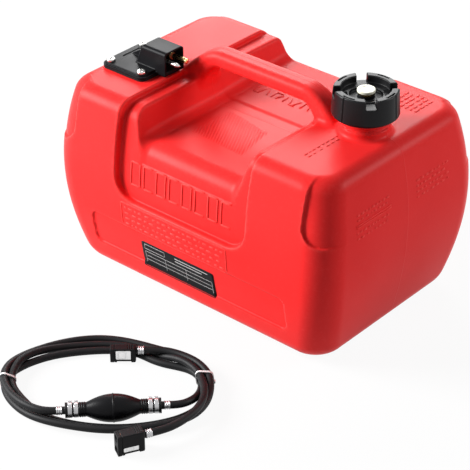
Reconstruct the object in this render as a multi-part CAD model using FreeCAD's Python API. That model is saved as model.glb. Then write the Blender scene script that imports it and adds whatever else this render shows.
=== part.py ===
import FreeCAD
import Part
import math
import os
from FreeCAD import Vector, Rotation, Placement

# Outboard fuel tank, 12 litres, with its fuel line beside it.  Millimetres, Z up.
# Origin: centre of the tank's base.  X runs along the carrying handle, -Y is the front.

# ---- tank shell -------------------------------------------------------------------------
tank_length = 360.0          # over the bulge, X
tank_depth = 250.0           # over the bulge, Y
tower_top = 206.0            # flat tops of both towers
tank_wall = 3.5
bulge_height = 115.0         # where the body is widest
base_inset = 19.0            # per side, from the bulge
lower_inset = 4.5
lower_height = 60.0
upper_inset = 4.0
upper_height = 165.0
top_inset = 13.0
corner_radius = 31.0
base_corner_radius = 28.0
base_edge_radius = 26.0
top_edge_radius = 18.0
base_recess_depth = 2.0
base_recess_margin = 62.0    # from the bulge to the edge of the recess under the base
base_recess_radius = 20.0

# channel under the handle, open to the front and the back
channel_left = -90.0         # outer rim
channel_right = 80.0
shelf_drop = 6.0             # tower top to shelf
left_shelf = 15.0            # width of the shelf
right_shelf = 9.0
channel_floor = 170.0
channel_wall_slope = 10.0    # run of the deep wall from shelf to floor
channel_foot_radius = 9.0
plate_recess = 8.0           # front plate behind the tower fronts
plate_bottom = 105.0
plate_corner_radius = 25.0
floor_roll_radius = 21.0     # floor rolling over into the front plate

# finger recesses at the four upper corners
corner_recess_depth = 3.5
corner_recess_bottom = 144.0
corner_recess_width = 33.0   # from the bulge, X
corner_recess_radius = 20.0
corner_recess_fade = 1.0      # the recess runs out at the side and at the top

# shallow label panel low on the front
panel_depth = 1.2
panel_half_length = 127.0
panel_bottom = 34.0
panel_top = 73.0
panel_radius = 8.0

# handle bridging the channel
handle_top = 234.0
handle_width = 25.0
handle_thickness = 17.4
handle_left = -50.0          # ends of the straight top
handle_right = 55.0
handle_reach = 45.0          # from the end of the straight top to the root, X
handle_edge = 0.42           # corner radius as a share of the thickness

# filler neck on the right tower
neck_from_side = 55.0        # neck axis to the bulge of the right side
neck_x = tank_length / 2 - neck_from_side
neck_y = 0.0
neck_radius = 23.5           # over the thread
neck_bore_radius = 18.5
neck_height = 29.0           # above the tower top
neck_fillet = 5.0            # from the tower top into the thread foot
neck_pad = 6.5               # disc under the fillet, beyond the foot
neck_foot_height = 9.0
neck_foot_radius = 24.6

# fuel outlet on the left tower
outlet_from_side = 49.5      # middle of the flange to the bulge of the left side
outlet_x = outlet_from_side - tank_length / 2
outlet_y = -38.0
outlet_hole_radius = 15.0
screw_pitch_x = 42.0
screw_pitch_y = 47.0
boss_radius = 6.5
boss_depth = 9.8             # below the top wall
insert_radius = 3.0
insert_length = 7.5
screw_radius = 2.0
screw_length = 13.5
screw_head_radius = 4.6
screw_head_height = 3.0
gasket_thickness = 2.0
flange_length = 58.0
flange_width = 62.0
flange_thickness = 4.5
flange_radius = 8.0
flange_step = 2.2            # ledge round the flange
flange_step_height = 2.0
hood_width = 28.0
hood_offset_y = 4.6          # hood centre from the flange centre
hood_height = 21.5           # above the flange
hood_front_x = 40.5          # mouth from the flange centre, X
hood_back_x = 8.0            # back of the hood's roof from the flange centre, X
hood_slope_run = 8.0
hood_wall = 2.2
hood_radius = 3.0
hood_depth = 20.0            # open depth behind the mouth
spigot_block_radius = 13.5
spigot_block_depth = 14.0    # below the flange
prong_height = 9.5           # prong axes above the flange
prong_pitch = 13.0           # nipple to guide pin, Y
nipple_radius = 2.9
nipple_collar_radius = 3.6
nipple_collar_length = 11.0
nipple_reach = 12.0          # beyond the mouth
nipple_seat = 5.0            # length pressed into the housing
nipple_hole_radius = 0.9
oring_thickness = 1.6
oring_groove_radius = 2.5
oring_groove_length = 1.8
guide_radius = 2.3
guide_reach = 13.0
guide_seat = 5.0
guide_shank_radius = 2.0     # pressed end
guide_step = 0.5             # shank showing in front of its seat
spigot_radius = 4.0
spigot_bore_radius = 2.2
spigot_length = 16.0
pickup_wall = 1.25
pickup_above_base = 8.0      # strainer above the inside of the base
strainer_radius = 8.0
strainer_height = 18.0

# filler cap
cap_radius = 33.0            # at the skirt's widest, low down
cap_top_radius = 31.5
cap_height = 30.0
cap_side_wall = 2.6
cap_chamfer = 5.0
cap_chamfer_height = 4.0
cap_thread_clearance = 0.6
cap_sleeve_wall = 2.4
cap_dish_thickness = 3.0     # deep middle of the dish
cap_shoulder_thickness = 6.3
cap_shoulder_radius = 16.0
castle_height = 7.2          # segments above the shoulder
castle_inner_radius = 24.0
castle_slots = 4
castle_slot_width = 10.4
castle_slot_depth = 8.5
castle_turn = 47.0           # degrees, first slot from +X
castle_slit_radius = 28.6
castle_slit_width = 1.6
castle_slit_depth = 2.5
castle_slit_half_angle = 13.0
skirt_groove_angle = 51.5    # degrees either side of a slot
skirt_groove_radius = 0.9
cap_gasket_thickness = 2.0
cap_gasket_width = 4.2
cap_liner_thickness = 1.5
cap_liner_bore = 7.5
hub_radius = 8.0
hub_height = 4.2             # above the dish's deep middle
vent_bore_radius = 3.0
vent_knob_radius = 8.9
vent_knob_height = 2.6
vent_collar_radius = 8.5
vent_collar_height = 2.0
vent_seal_thickness = 1.5
vent_seal_radius = 5.5
vent_clip_radius = 5.0
vent_clip_thickness = 1.0
vent_travel = 3.0
vent_end = 0.7               # stem below its clip

# fuel line lying in front of the tank
line_x = 27.0                # centre of the coil
line_y = -262.0
line_turn = 40.9             # degrees, long way of the coil from +X
hose_radius = 3.7
coil_half_length = 102.5
coil_half_width = 77.25
coil_end_width = 17.5        # from the outer to the inner oval, at the ends
coil_side_width = 19.0       # and along the sides
coil_outer = {"half_length": coil_half_length, "half_width": coil_half_width, "centre": 2.75, "power": 2.3}
coil_inner = {
    "half_length": coil_half_length - coil_end_width,
    "half_width": coil_half_width - coil_side_width,
    "centre": -4.25, "power": 2.9,
}
coil_points = 20
coil_low = 7.4               # one strand high, front and back
coil_high = 14.2             # two strands high at the ties
coil_low_left = -58.0
coil_low_right = 60.0
coil_rise = 6.0
coil_edge = 1.8
tie_width = 2.4
tie_thickness = 1.0
tie_left = (-95.0, 2.5)      # along and across the coil's long way
tie_right = (96.0, 5.0)

# primer bulb, lengths from its middle
bulb_u = 9.5
bulb_v = -49.5
bulb_turn = 4.9              # degrees against the coil's long way
bulb_axis_height = 14.0
bulb_radius = 13.3
bulb_swell = 25.0            # half length of the swollen part
bulb_neck_radius = 6.7
bulb_neck_end = 42.3
bulb_wall = 2.6
bulb_ridge = 0.5
bulb_ridge_width = 1.0
bulb_rib_places = (26.6, 28.6, 30.6)
band_width = 4.1
band_thickness = 0.5
band_places = (34.4, 40.0)
valve_radius = 5.0           # inside the bulb's neck
valve_start = 27.5
valve_collar_radius = 7.4
valve_collar_end = 44.5
valve_neck_radius = 3.7
valve_neck_end = 47.0
chamber_radius = 3.3
chamber_start = 33.0
chamber_length = 8.0
port_radius = 1.6
poppet_radius = 3.0
poppet_length = 4.0
barb_radius = 2.6
barb_length = 5.6
clip_radius = 4.2

# connectors, lengths from the socket face
small_connector = {
    "u": 1.0, "v": 45.5, "turn": 0.0,
    "length": 25.0, "depth": 10.0, "height": 15.5,
    "pitch": 7.0, "socket": 2.2, "socket_depth": 14.0, "barb_height": 11.4,
    "latch_low": 3.0, "latch_high": 13.4,
}
large_connector = {
    "u": 14.6, "v": -99.1, "turn": 21.0,
    "length": 26.0, "depth": 12.0, "height": 21.6,
    "pitch": 13.0, "socket": 3.0, "socket_depth": 21.0, "barb_height": 14.5,
    "latch_low": 3.0, "latch_high": 7.8,
}
connector_edge = 1.6
connector_foot = 1.6         # height of the feet
connector_neck_radius = 3.6
connector_neck_length = 2.0
connector_barb_length = 6.0
connector_seal_radius = 3.9
connector_seal_length = 2.0
latch_start = 5.5
latch_length = 15.0
latch_thickness = 1.0
latch_recess = 0.6           # plate below the connector's side
latch_pocket = 2.4
latch_lip = 1.0
latch_barrel_radius = 1.1
latch_pin_radius = 0.6
latch_pin_reach = 1.0        # pin beyond its plate, each end
pin_fit = 0.04               # radial running fit

# loose tubes: straight run from the fitting, then points (along, across, height) into the coil
tail_a = {"run": 12.0, "points": ((63.0, 43.0, 10.6), (78.0, 34.0, 9.8))}
tail_b = {"run": 12.0, "points": ((71.5, -70.5, 10.5), (82.0, -54.0, 5.6), (87.0, -38.0, 4.6))}
stub_right = {"run": 8.0, "points": ((85.0, -36.0, 9.8),)}
stub_left = {"run": 8.0, "points": ((-65.0, -51.5, 10.4), (-78.0, -42.0, 10.0))}
seat_gap = 0.3               # between curved faces of different pieces


def rounded_rectangle(length, width, radius, height, centre_x=0.0, centre_y=0.0):
    """Closed wire of four lines and four arcs, flat at the given height."""
    edges = []
    corners = []
    for quarter, (sx, sy) in enumerate(((1, 1), (-1, 1), (-1, -1), (1, -1))):
        cx = centre_x + sx * (length / 2 - radius)
        cy = centre_y + sy * (width / 2 - radius)
        points = []
        for step in range(3):
            angle = math.radians(90 * quarter + 45 * step)
            points.append(Vector(cx + radius * math.cos(angle), cy + radius * math.sin(angle), height))
        corners.append(points)
    for index, points in enumerate(corners):
        edges.append(Part.Arc(points[0], points[1], points[2]).toShape())
        edges.append(Part.makeLine(points[2], corners[(index + 1) % 4][0]))
    return Part.Wire(edges)


def prism_xz(points, y0, y1):
    """Polygon of (x, z) points swept along Y."""
    wire = Part.makePolygon([Vector(x, y0, z) for x, z in points + points[:1]])
    return Part.Face(wire).extrude(Vector(0, y1 - y0, 0))


def box(x0, y0, z0, x1, y1, z1):
    return Part.makeBox(x1 - x0, y1 - y0, z1 - z0, Vector(x0, y0, z0))


def cylinder(radius, x, y, z0, z1):
    return Part.makeCylinder(radius, z1 - z0, Vector(x, y, z0))


def ring(outer, inner, x, y, z0, z1):
    return cylinder(outer, x, y, z0, z1).cut(cylinder(inner, x, y, z0 - 1, z1 + 1))


def level_edges(shape, height):
    """Edges that lie in the horizontal plane at the given height."""
    found = []
    for edge in shape.Edges:
        box_z = edge.BoundBox
        if abs(box_z.ZMin - height) < 1e-3 and abs(box_z.ZMax - height) < 1e-3:
            found.append(edge)
    return found


def write(name, shape):
    assert shape.isValid(), name
    print(name, len(shape.Solids), "solids", round(shape.Volume / 1000.0, 2), "cm3")
    shape.exportStep("parts/" + name + ".step")


# ---- tank shell -------------------------------------------------------------------------
def bulged_body(inset):
    """The tank's outline without channel or handle, drawn in by the inset all round."""
    sections = (
        (inset, base_inset, base_corner_radius),
        (lower_height, lower_inset, corner_radius),
        (bulge_height, 0.0, corner_radius),
        (upper_height, upper_inset, corner_radius),
        (tower_top - inset, top_inset, base_corner_radius),
    )
    wires = []
    for height, draw_in, radius in sections:
        total = 2 * (draw_in + inset)
        wires.append(rounded_rectangle(tank_length - total, tank_depth - total, radius - inset, height))
    body = Part.makeLoft(wires, True, False)
    body = body.makeFillet(base_edge_radius - inset, level_edges(body, inset))
    return body.makeFillet(top_edge_radius - inset, level_edges(body, tower_top - inset))


def front_outline(inset):
    """Prism through the tank: between the channel's rims, down to the round foot of the front plate."""
    reach = tank_depth
    top = tower_top + 60.0
    shape = box(channel_left - inset, -reach, plate_bottom - inset, channel_right + inset, reach, top)
    foot = [e for e in shape.Edges if e.BoundBox.ZMax < plate_bottom + 1 and e.BoundBox.YLength > reach]
    return shape.makeFillet(plate_corner_radius + inset, foot)


def rounded_polygon(points, radii, place):
    """Closed wire through the points, each corner rounded to its radius; place(a, b) gives the 3-D point."""
    edges = []
    starts = []
    ends = []
    middles = []
    count = len(points)
    for index, (a, b) in enumerate(points):
        before = points[index - 1]
        after = points[(index + 1) % count]
        to_before = Vector(before[0] - a, before[1] - b, 0).normalize()
        to_after = Vector(after[0] - a, after[1] - b, 0).normalize()
        half = to_before.getAngle(to_after) / 2
        corner = Vector(a, b, 0)
        reach = radii[index] / math.tan(half)
        start = corner + to_before * reach
        end = corner + to_after * reach
        middle = corner + (to_before + to_after).normalize() * (radii[index] / math.sin(half) - radii[index])
        starts.append(place(start.x, start.y))
        ends.append(place(end.x, end.y))
        middles.append(place(middle.x, middle.y))
    for index in range(count):
        if radii[index] > 0:
            edges.append(Part.Arc(starts[index], middles[index], ends[index]).toShape())
        following = (index + 1) % count
        edges.append(Part.makeLine(ends[index], starts[following]))
    return Part.Wire(edges)


def channel_cutter(inset):
    """The deep channel: sloping walls, rounded feet, and a floor that rolls over into the front plate."""
    shelf = tower_top - shelf_drop
    left = channel_left + left_shelf - inset
    right = channel_right - right_shelf + inset
    depth = shelf - channel_floor
    rise = 60.0
    spread = channel_wall_slope * rise / depth
    slope = channel_wall_slope * (depth + inset) / depth
    level = channel_floor - inset
    roll = floor_roll_radius - inset
    plate_y = -tank_depth / 2 + upper_inset + plate_recess + inset
    outline = (
        (left - spread, shelf + rise),
        (left + slope, level),
        (right - slope, level),
        (right + spread, shelf + rise),
    )
    foot = channel_foot_radius + inset
    wire = rounded_polygon(outline, (0, foot, foot, 0), lambda a, b: Vector(a, plate_y + roll, b))
    profile = Part.Face(wire)
    along = profile.extrude(Vector(0, tank_depth, 0))
    over = profile.revolve(Vector(0, plate_y + roll, level - roll), Vector(1, 0, 0), 90)
    return along.fuse(over)


def body_form(inset):
    """Solid outline of the tank's body, drawn in by the inset all round."""
    body = bulged_body(inset)
    sunk = body.copy()
    sunk.translate(Vector(0, plate_recess, -shelf_drop))
    body = body.cut(front_outline(inset).cut(sunk))
    return body.cut(channel_cutter(inset))


def corner_recesses(body):
    """Finger recesses cut back from the front and back faces at the four upper corners."""
    half = tank_length / 2
    inner_edge = half - corner_recess_width
    top = tower_top + top_edge_radius
    block = box(inner_edge, -tank_depth, corner_recess_bottom, tank_length, 0, top)
    bend = [e for e in block.Edges if e.BoundBox.YLength > tank_depth / 2 and e.BoundBox.XMax < half
            and e.BoundBox.ZMax < corner_recess_bottom + 1]
    block = block.makeFillet(corner_recess_radius, bend)
    sunk = bulged_body(0.0)
    sunk.translate(Vector(corner_recess_fade, corner_recess_depth, corner_recess_fade))
    front = block.cut(sunk)
    cutters = [front]
    cutters.append(front.mirror(Vector(0, 0, 0), Vector(1, 0, 0)))
    cutters.append(front.mirror(Vector(0, 0, 0), Vector(0, 1, 0)))
    cutters.append(cutters[1].mirror(Vector(0, 0, 0), Vector(0, 1, 0)))
    return body.cut(cutters)


def handle():
    """Arched bar over the channel, lofted through rounded sections that widen into both towers."""
    middle = handle_top - handle_thickness / 2
    stations = (
        (1.00, -44.0, 68.0, 1.85, 1.95),
        (0.72, -24.0, 54.0, 1.34, 1.42),
        (0.36, -6.5, 31.0, 1.08, 1.12),
        (0.0, 0.0, 0.0, 1.0, 1.0),
    )
    sections = []
    for side, end in ((-1, handle_left), (1, handle_right)):
        run = []
        for reach, drop, tilt, wide, thick in stations:
            centre = Vector(end + side * reach * handle_reach, 0, middle + drop)
            run.append((centre, side * tilt, handle_width * wide, handle_thickness * thick))
        if side < 0:
            sections += run
            span = handle_right - handle_left
            sections.append((Vector(handle_left + span / 3, 0, middle), 0.0, handle_width, handle_thickness))
            sections.append((Vector(handle_right - span / 3, 0, middle), 0.0, handle_width, handle_thickness))
        else:
            sections += run[::-1]
    wires = []
    for centre, tilt, wide, thick in sections:
        wire = rounded_rectangle(thick, wide, thick * handle_edge, 0.0)
        turn = Rotation(Vector(0, 1, 0), 90 + tilt)
        wire.Placement = Placement(centre, turn)
        wires.append(wire)
    return Part.makeLoft(wires, True, False)


def neck_profile():
    """Revolved filler neck: fillet, thread foot and plain neck."""
    base = tower_top - tank_wall
    points = (
        (0, base),
        (neck_foot_radius + neck_pad, base),
        (neck_foot_radius + neck_pad, tower_top),
        (neck_foot_radius, tower_top),
        (neck_foot_radius, tower_top + neck_foot_height),
        (neck_radius, tower_top + neck_foot_height),
        (neck_radius, tower_top + neck_height),
        (0, tower_top + neck_height),
    )
    radii = (0, 0, 0, neck_fillet, 0.8, 0, 1.2, 0)
    wire = rounded_polygon(points, radii, lambda a, b: Vector(neck_x + a, neck_y, b))
    return Part.Face(wire).revolve(Vector(neck_x, neck_y, 0), Vector(0, 0, 1), 360)


def outlet_screw_places():
    places = []
    for sx in (-1, 1):
        for sy in (-1, 1):
            places.append((outlet_x + sx * screw_pitch_x / 2, outlet_y + sy * screw_pitch_y / 2))
    return places


def label_panel():
    """Shallow tray cut into the lower front face."""
    block = box(-panel_half_length, -tank_depth, panel_bottom, panel_half_length, 0, panel_top)
    bends = [e for e in block.Edges if e.BoundBox.YLength > tank_depth / 2]
    block = block.makeFillet(panel_radius, bends)
    sunk = bulged_body(0.0)
    sunk.translate(Vector(0, panel_depth, 0))
    return block.cut(sunk)


def base_recess():
    """The tank stands on a rim; the middle of its base is drawn up a little."""
    length = tank_length - 2 * base_recess_margin
    depth = tank_depth - 2 * base_recess_margin
    wire = rounded_rectangle(length, depth, base_recess_radius, 0.0)
    return Part.Face(wire).extrude(Vector(0, 0, base_recess_depth))


def tank_shell():
    body = corner_recesses(body_form(0.0))
    body = body.cut([label_panel(), base_recess()])
    body = body.fuse([handle(), neck_profile()])
    cavity = body_form(tank_wall)
    over_recess = base_recess()
    over_recess.scale(1.04)
    raised = over_recess.copy()
    raised.translate(Vector(0, 0, tank_wall))
    cavity = cavity.cut(raised)
    bosses = []
    for x, y in outlet_screw_places():
        bosses.append(cylinder(boss_radius, x, y, tower_top - boss_depth, tower_top))
    cavity = cavity.cut(bosses)
    body = body.cut(cavity)
    holes = [cylinder(neck_bore_radius, neck_x, neck_y, tower_top - 3 * tank_wall, tower_top + neck_height)]
    holes.append(cylinder(outlet_hole_radius, outlet_x, outlet_y, tower_top - 3 * tank_wall, tower_top))
    for x, y in outlet_screw_places():
        holes.append(cylinder(insert_radius, x, y, tower_top - insert_length - 0.5, tower_top))
    return body.cut(holes)


# ---- fuel outlet ------------------------------------------------------------------------
flange_bottom = tower_top + gasket_thickness
flange_top = flange_bottom + flange_thickness
hood_y = outlet_y + hood_offset_y
mouth_x = outlet_x + hood_front_x
seat_x = mouth_x - hood_depth
prong_z = flange_top + prong_height
nipple_y = hood_y + prong_pitch / 2
guide_y = hood_y - prong_pitch / 2
spigot_top = flange_bottom - spigot_block_depth


def along_x(radius, x0, x1, y, z):
    return Part.makeCylinder(radius, x1 - x0, Vector(x0, y, z), Vector(1, 0, 0))


def slab(length, width, radius, x, y, z0, z1):
    """Flat plate with rounded corners."""
    wire = rounded_rectangle(length, width, radius, z0, x, y)
    return Part.Face(wire).extrude(Vector(0, 0, z1 - z0))


def connector_gasket():
    plate = slab(flange_length, flange_width, flange_radius, outlet_x, outlet_y, tower_top, flange_bottom)
    holes = [cylinder(outlet_hole_radius, outlet_x, outlet_y, tower_top - 1, flange_top)]
    for x, y in outlet_screw_places():
        holes.append(cylinder(screw_radius + seat_gap, x, y, tower_top - 1, flange_top))
    return plate.cut(holes)


def hood_block():
    """Hood with a sloping back and rounded roof edges, before it is hollowed."""
    roof = flange_top + hood_height
    back = outlet_x + hood_back_x
    outline = [
        (mouth_x, flange_bottom + seat_gap),
        (mouth_x, roof),
        (back, roof),
        (back - hood_slope_run, flange_top),
        (back - hood_slope_run, flange_bottom + seat_gap),
    ]
    block = prism_xz(outline, hood_y - hood_width / 2, hood_y + hood_width / 2)
    edges = [e for e in level_edges(block, roof) if e.BoundBox.YLength < 1e-3]
    return block.makeFillet(hood_radius, edges)


def outlet_housing():
    plate = slab(flange_length, flange_width, flange_radius, outlet_x, outlet_y, flange_bottom, flange_top)
    ledge = slab(flange_length - 2 * flange_step, flange_width - 2 * flange_step, flange_radius - flange_step,
                 outlet_x, outlet_y, flange_top - flange_step_height, flange_top)
    rim = slab(flange_length, flange_width, flange_radius, outlet_x, outlet_y, flange_bottom,
               flange_top - flange_step_height)
    body = rim.fuse([ledge, hood_block()])
    body = body.fuse(cylinder(spigot_block_radius, outlet_x, outlet_y, spigot_top, flange_top))
    inner = hood_width / 2 - hood_wall
    roof = flange_top + hood_height - hood_wall
    hollow = box(seat_x, hood_y - inner, flange_top, mouth_x + 1, hood_y + inner, roof)
    hollow = hollow.makeFillet(hood_radius - 1.0, [e for e in level_edges(hollow, roof) if e.BoundBox.YLength < 1e-3])
    cuts = [hollow]
    cuts.append(along_x(nipple_radius, seat_x - nipple_seat, seat_x, nipple_y, prong_z))
    cuts.append(along_x(guide_shank_radius, seat_x - guide_seat, seat_x, guide_y, prong_z))
    for x, y in outlet_screw_places():
        cuts.append(cylinder(screw_radius + seat_gap, x, y, flange_bottom - 1, flange_top + 1))
    passage_x = outlet_x
    cuts.append(cylinder(spigot_bore_radius, passage_x, nipple_y, spigot_top + 4.0, prong_z + spigot_bore_radius))
    cuts.append(along_x(spigot_bore_radius, passage_x, seat_x - nipple_seat, nipple_y, prong_z))
    cuts.append(cylinder(spigot_radius, passage_x, nipple_y, spigot_top, spigot_top + 6.0))
    return body.cut(cuts).removeSplitter()


def housing_screws():
    screws = []
    for x, y in outlet_screw_places():
        head = cylinder(screw_head_radius, x, y, flange_top, flange_top + screw_head_height)
        crown = [e for e in head.Edges if e.BoundBox.ZMin > flange_top + screw_head_height - 1e-3]
        head = head.makeFillet(screw_head_height * 0.55, crown)
        slot_top = flange_top + screw_head_height
        for turn in (0, 90):
            slot = box(x - 2.6, y - 0.5, slot_top - 1.4, x + 2.6, y + 0.5, slot_top + 1)
            slot.rotate(Vector(x, y, 0), Vector(0, 0, 1), 30 + turn)
            head = head.cut(slot)
        shank = cylinder(screw_radius, x, y, flange_top - screw_length, flange_top)
        screws.append(head.fuse(shank))
    return Part.makeCompound(screws)


def screw_inserts():
    inserts = []
    for x, y in outlet_screw_places():
        inserts.append(ring(insert_radius, screw_radius, x, y, tower_top - insert_length, tower_top))
    return Part.makeCompound(inserts)


def fuel_nipple():
    tip = mouth_x + nipple_reach
    body = along_x(nipple_radius, seat_x - nipple_seat, tip, nipple_y, prong_z)
    body = body.makeChamfer(nipple_radius * 0.35, [e for e in body.Edges if e.BoundBox.XMin > tip - 1e-3])
    collar_end = seat_x + nipple_collar_length
    body = body.fuse(along_x(nipple_collar_radius, seat_x, collar_end, nipple_y, prong_z))
    groove_end = collar_end + oring_groove_length
    groove = along_x(nipple_collar_radius, collar_end, groove_end, nipple_y, prong_z)
    groove = groove.cut(along_x(oring_groove_radius, collar_end - 1, groove_end + 1, nipple_y, prong_z))
    cross = cylinder(nipple_hole_radius, tip - 4.0, nipple_y, prong_z - 5, prong_z + 5)
    bore = along_x(nipple_hole_radius, seat_x - nipple_seat, tip - 4.0, nipple_y, prong_z)
    return body.cut([cross, bore, groove])


def nipple_oring():
    start = seat_x + nipple_collar_length + (oring_groove_length - oring_thickness) / 2
    outer = along_x(nipple_collar_radius, start, start + oring_thickness, nipple_y, prong_z)
    inner = along_x(oring_groove_radius, start - 1, start + oring_thickness + 1, nipple_y, prong_z)
    return outer.cut(inner)


def guide_pin():
    tip = mouth_x + guide_reach
    start = seat_x + guide_step
    shank = along_x(guide_shank_radius, seat_x - guide_seat, start, guide_y, prong_z)
    body = along_x(guide_radius, start, tip - 4.0, guide_y, prong_z)
    cone = Part.makeCone(guide_radius, 0.7, 4.0, Vector(tip - 4.0, guide_y, prong_z), Vector(1, 0, 0))
    return body.fuse([shank, cone])


def pickup_spigot():
    """Barbed spigot pressed into the housing, carrying the pickup tube."""
    x, y = outlet_x, nipple_y
    body = cylinder(spigot_radius, x, y, spigot_top - spigot_length, spigot_top + 6.0)
    return body.cut(cylinder(spigot_bore_radius, x, y, spigot_top - spigot_length - 1, spigot_top + 7))


def pickup_tube():
    x, y = outlet_x, nipple_y
    bottom = tank_wall + pickup_above_base + strainer_height * 0.6
    return ring(spigot_radius + pickup_wall, spigot_radius, x, y, bottom, spigot_top - seat_gap)


def pickup_strainer():
    """Mesh cup on the tube's lower end: closed foot, slotted wall, collar round the tube."""
    x, y = outlet_x, nipple_y
    bottom = tank_wall + pickup_above_base
    top = bottom + strainer_height
    cup = cylinder(strainer_radius, x, y, bottom, top)
    cup = cup.makeFillet(2.0, [e for e in cup.Edges if e.BoundBox.ZMax < bottom + 1e-3])
    cup = cup.cut(cylinder(spigot_radius + pickup_wall, x, y, bottom + strainer_height * 0.6, top + 1))
    cup = cup.cut(cylinder(spigot_radius, x, y, bottom + 2.0, top))
    slots = []
    for index in range(4):
        slot = box(-strainer_radius - 1, -1.5, bottom + 3.0, strainer_radius + 1, 1.5, bottom + strainer_height * 0.5)
        slot.rotate(Vector(0, 0, 0), Vector(0, 0, 1), 45 * index)
        slot.translate(Vector(x, y, 0))
        slots.append(slot)
    return cup.cut(slots)


# ---- filler cap -------------------------------------------------------------------------
neck_top = tower_top + neck_height
cap_under = neck_top + cap_gasket_thickness + cap_liner_thickness
dish_floor = cap_under + cap_dish_thickness
shoulder = cap_under + cap_shoulder_thickness
castle_top = shoulder + castle_height
cap_bottom = castle_top - cap_height
hub_top = dish_floor + hub_height
sleeve_radius = neck_radius + cap_thread_clearance


def turned(points, radii, x, y):
    """Solid of revolution about a vertical axis through (x, y); points are (radius, height)."""
    wire = rounded_polygon(points, radii, lambda a, b: Vector(x + a, y, b))
    return Part.Face(wire).revolve(Vector(x, y, 0), Vector(0, 0, 1), 360)


def cap_blank():
    """The cap as turned: skirt, inner sleeve, stepped dish and hub."""
    outer_wall = cap_radius - cap_side_wall - 0.6
    sleeve_outer = sleeve_radius + cap_sleeve_wall
    points = (
        (vent_bore_radius, cap_under),
        (sleeve_radius, cap_under),
        (sleeve_radius, cap_bottom),
        (sleeve_outer, cap_bottom),
        (sleeve_outer, cap_under - 1.5),
        (outer_wall - 1.5, cap_under - 1.5),
        (outer_wall - 1.0, cap_bottom + cap_chamfer_height),
        (cap_radius - cap_chamfer, cap_bottom),
        (cap_radius - cap_chamfer + 1.0, cap_bottom),
        (cap_radius, cap_bottom + cap_chamfer_height),
        (cap_top_radius, castle_top),
        (castle_inner_radius, castle_top),
        (castle_inner_radius, shoulder),
        (cap_shoulder_radius, shoulder),
        (cap_shoulder_radius - 1.0, dish_floor),
        (hub_radius, dish_floor),
        (hub_radius, hub_top),
        (vent_seal_radius + 0.2, hub_top),
        (vent_seal_radius + 0.2, hub_top - vent_seal_thickness),
        (vent_bore_radius, hub_top - vent_seal_thickness),
    )
    radii = (0, 0, 0, 0, 0, 0, 0, 0, 0, 1.0, 1.0, 0.6, 0, 0.6, 0, 0, 0.6, 0, 0, 0)
    return turned(points, radii, neck_x, neck_y)


def castle_cuts():
    """Four radial slots, an arc slit in each raised segment and the fine grooves down the skirt."""
    cuts = []
    centre = Vector(neck_x, neck_y, 0)
    pitch = 360.0 / castle_slots
    floor = castle_top - castle_slot_depth
    half = castle_slot_width / 2
    for index in range(castle_slots):
        turn = castle_turn + pitch * index
        slot = box(castle_inner_radius - 1.0, -half, floor, cap_radius + 2, half, castle_top + 1)
        slit = ring(castle_slit_radius + castle_slit_width / 2, castle_slit_radius - castle_slit_width / 2,
                    0, 0, castle_top - castle_slit_depth, castle_top + 1)
        sector = math.tan(math.radians(castle_slit_half_angle)) * cap_radius
        wire = Part.makePolygon([Vector(0, 0, cap_bottom), Vector(cap_radius, -sector, cap_bottom),
                                 Vector(cap_radius, sector, cap_bottom), Vector(0, 0, cap_bottom)])
        wedge = Part.Face(wire).extrude(Vector(0, 0, cap_height + 2))
        slit = slit.common(wedge)
        slit.rotate(Vector(0, 0, 0), Vector(0, 0, 1), pitch / 2)
        tools = [slot, slit]
        for side in (-1, 1):
            angle = side * math.radians(skirt_groove_angle)
            groove_x = cap_radius * math.cos(angle)
            groove_y = cap_radius * math.sin(angle)
            groove = cylinder(skirt_groove_radius, groove_x, groove_y, cap_bottom - 1, castle_top - 3.0)
            if index % 2:
                tools.append(groove)
        for tool in tools:
            tool.rotate(Vector(0, 0, 0), Vector(0, 0, 1), turn)
            tool.translate(centre)
            cuts.append(tool)
    return cuts


def filler_cap():
    return cap_blank().cut(castle_cuts())


def cap_gasket():
    outer = neck_radius - seat_gap
    return ring(outer, outer - cap_gasket_width, neck_x, neck_y, neck_top, neck_top + cap_gasket_thickness)


def cap_liner():
    bottom = neck_top + cap_gasket_thickness
    return ring(sleeve_radius - seat_gap, cap_liner_bore, neck_x, neck_y, bottom, cap_under)


def vent_seal():
    return ring(vent_seal_radius, vent_bore_radius, neck_x, neck_y, hub_top - vent_seal_thickness, hub_top)


clip_top = cap_under - vent_travel - seat_gap
stem_radius = vent_bore_radius - pin_fit


def vent_collar():
    """Brass collar and stem of the vent screw."""
    collar = cylinder(vent_collar_radius, neck_x, neck_y, hub_top, hub_top + vent_collar_height)
    stem = cylinder(stem_radius, neck_x, neck_y, clip_top - vent_clip_thickness - vent_end, hub_top)
    return collar.fuse(stem)


def vent_knob():
    bottom = hub_top + vent_collar_height
    top = bottom + vent_knob_height
    points = ((0, bottom), (vent_knob_radius, bottom), (vent_knob_radius, top), (0, top))
    return turned(points, (0, 0.3, 0.8, 0), neck_x, neck_y)


def vent_clip():
    body = ring(vent_clip_radius, stem_radius, neck_x, neck_y, clip_top - vent_clip_thickness, clip_top)
    return body.cut(box(neck_x, neck_y - 1.2, clip_top - 2, neck_x + 9, neck_y + 1.2, clip_top + 1))


# ---- fuel line --------------------------------------------------------------------------
def laid(shape, u=0.0, v=0.0, height=0.0, turn=0.0):
    """Move a shape made about the origin to its place in the fuel line, then to the tank's frame."""
    placed = shape.copy()
    placed.rotate(Vector(0, 0, 0), Vector(0, 0, 1), turn)
    placed.translate(Vector(u, v, height))
    placed.rotate(Vector(0, 0, 0), Vector(0, 0, 1), line_turn)
    placed.translate(Vector(line_x, line_y, 0))
    return placed


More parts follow.
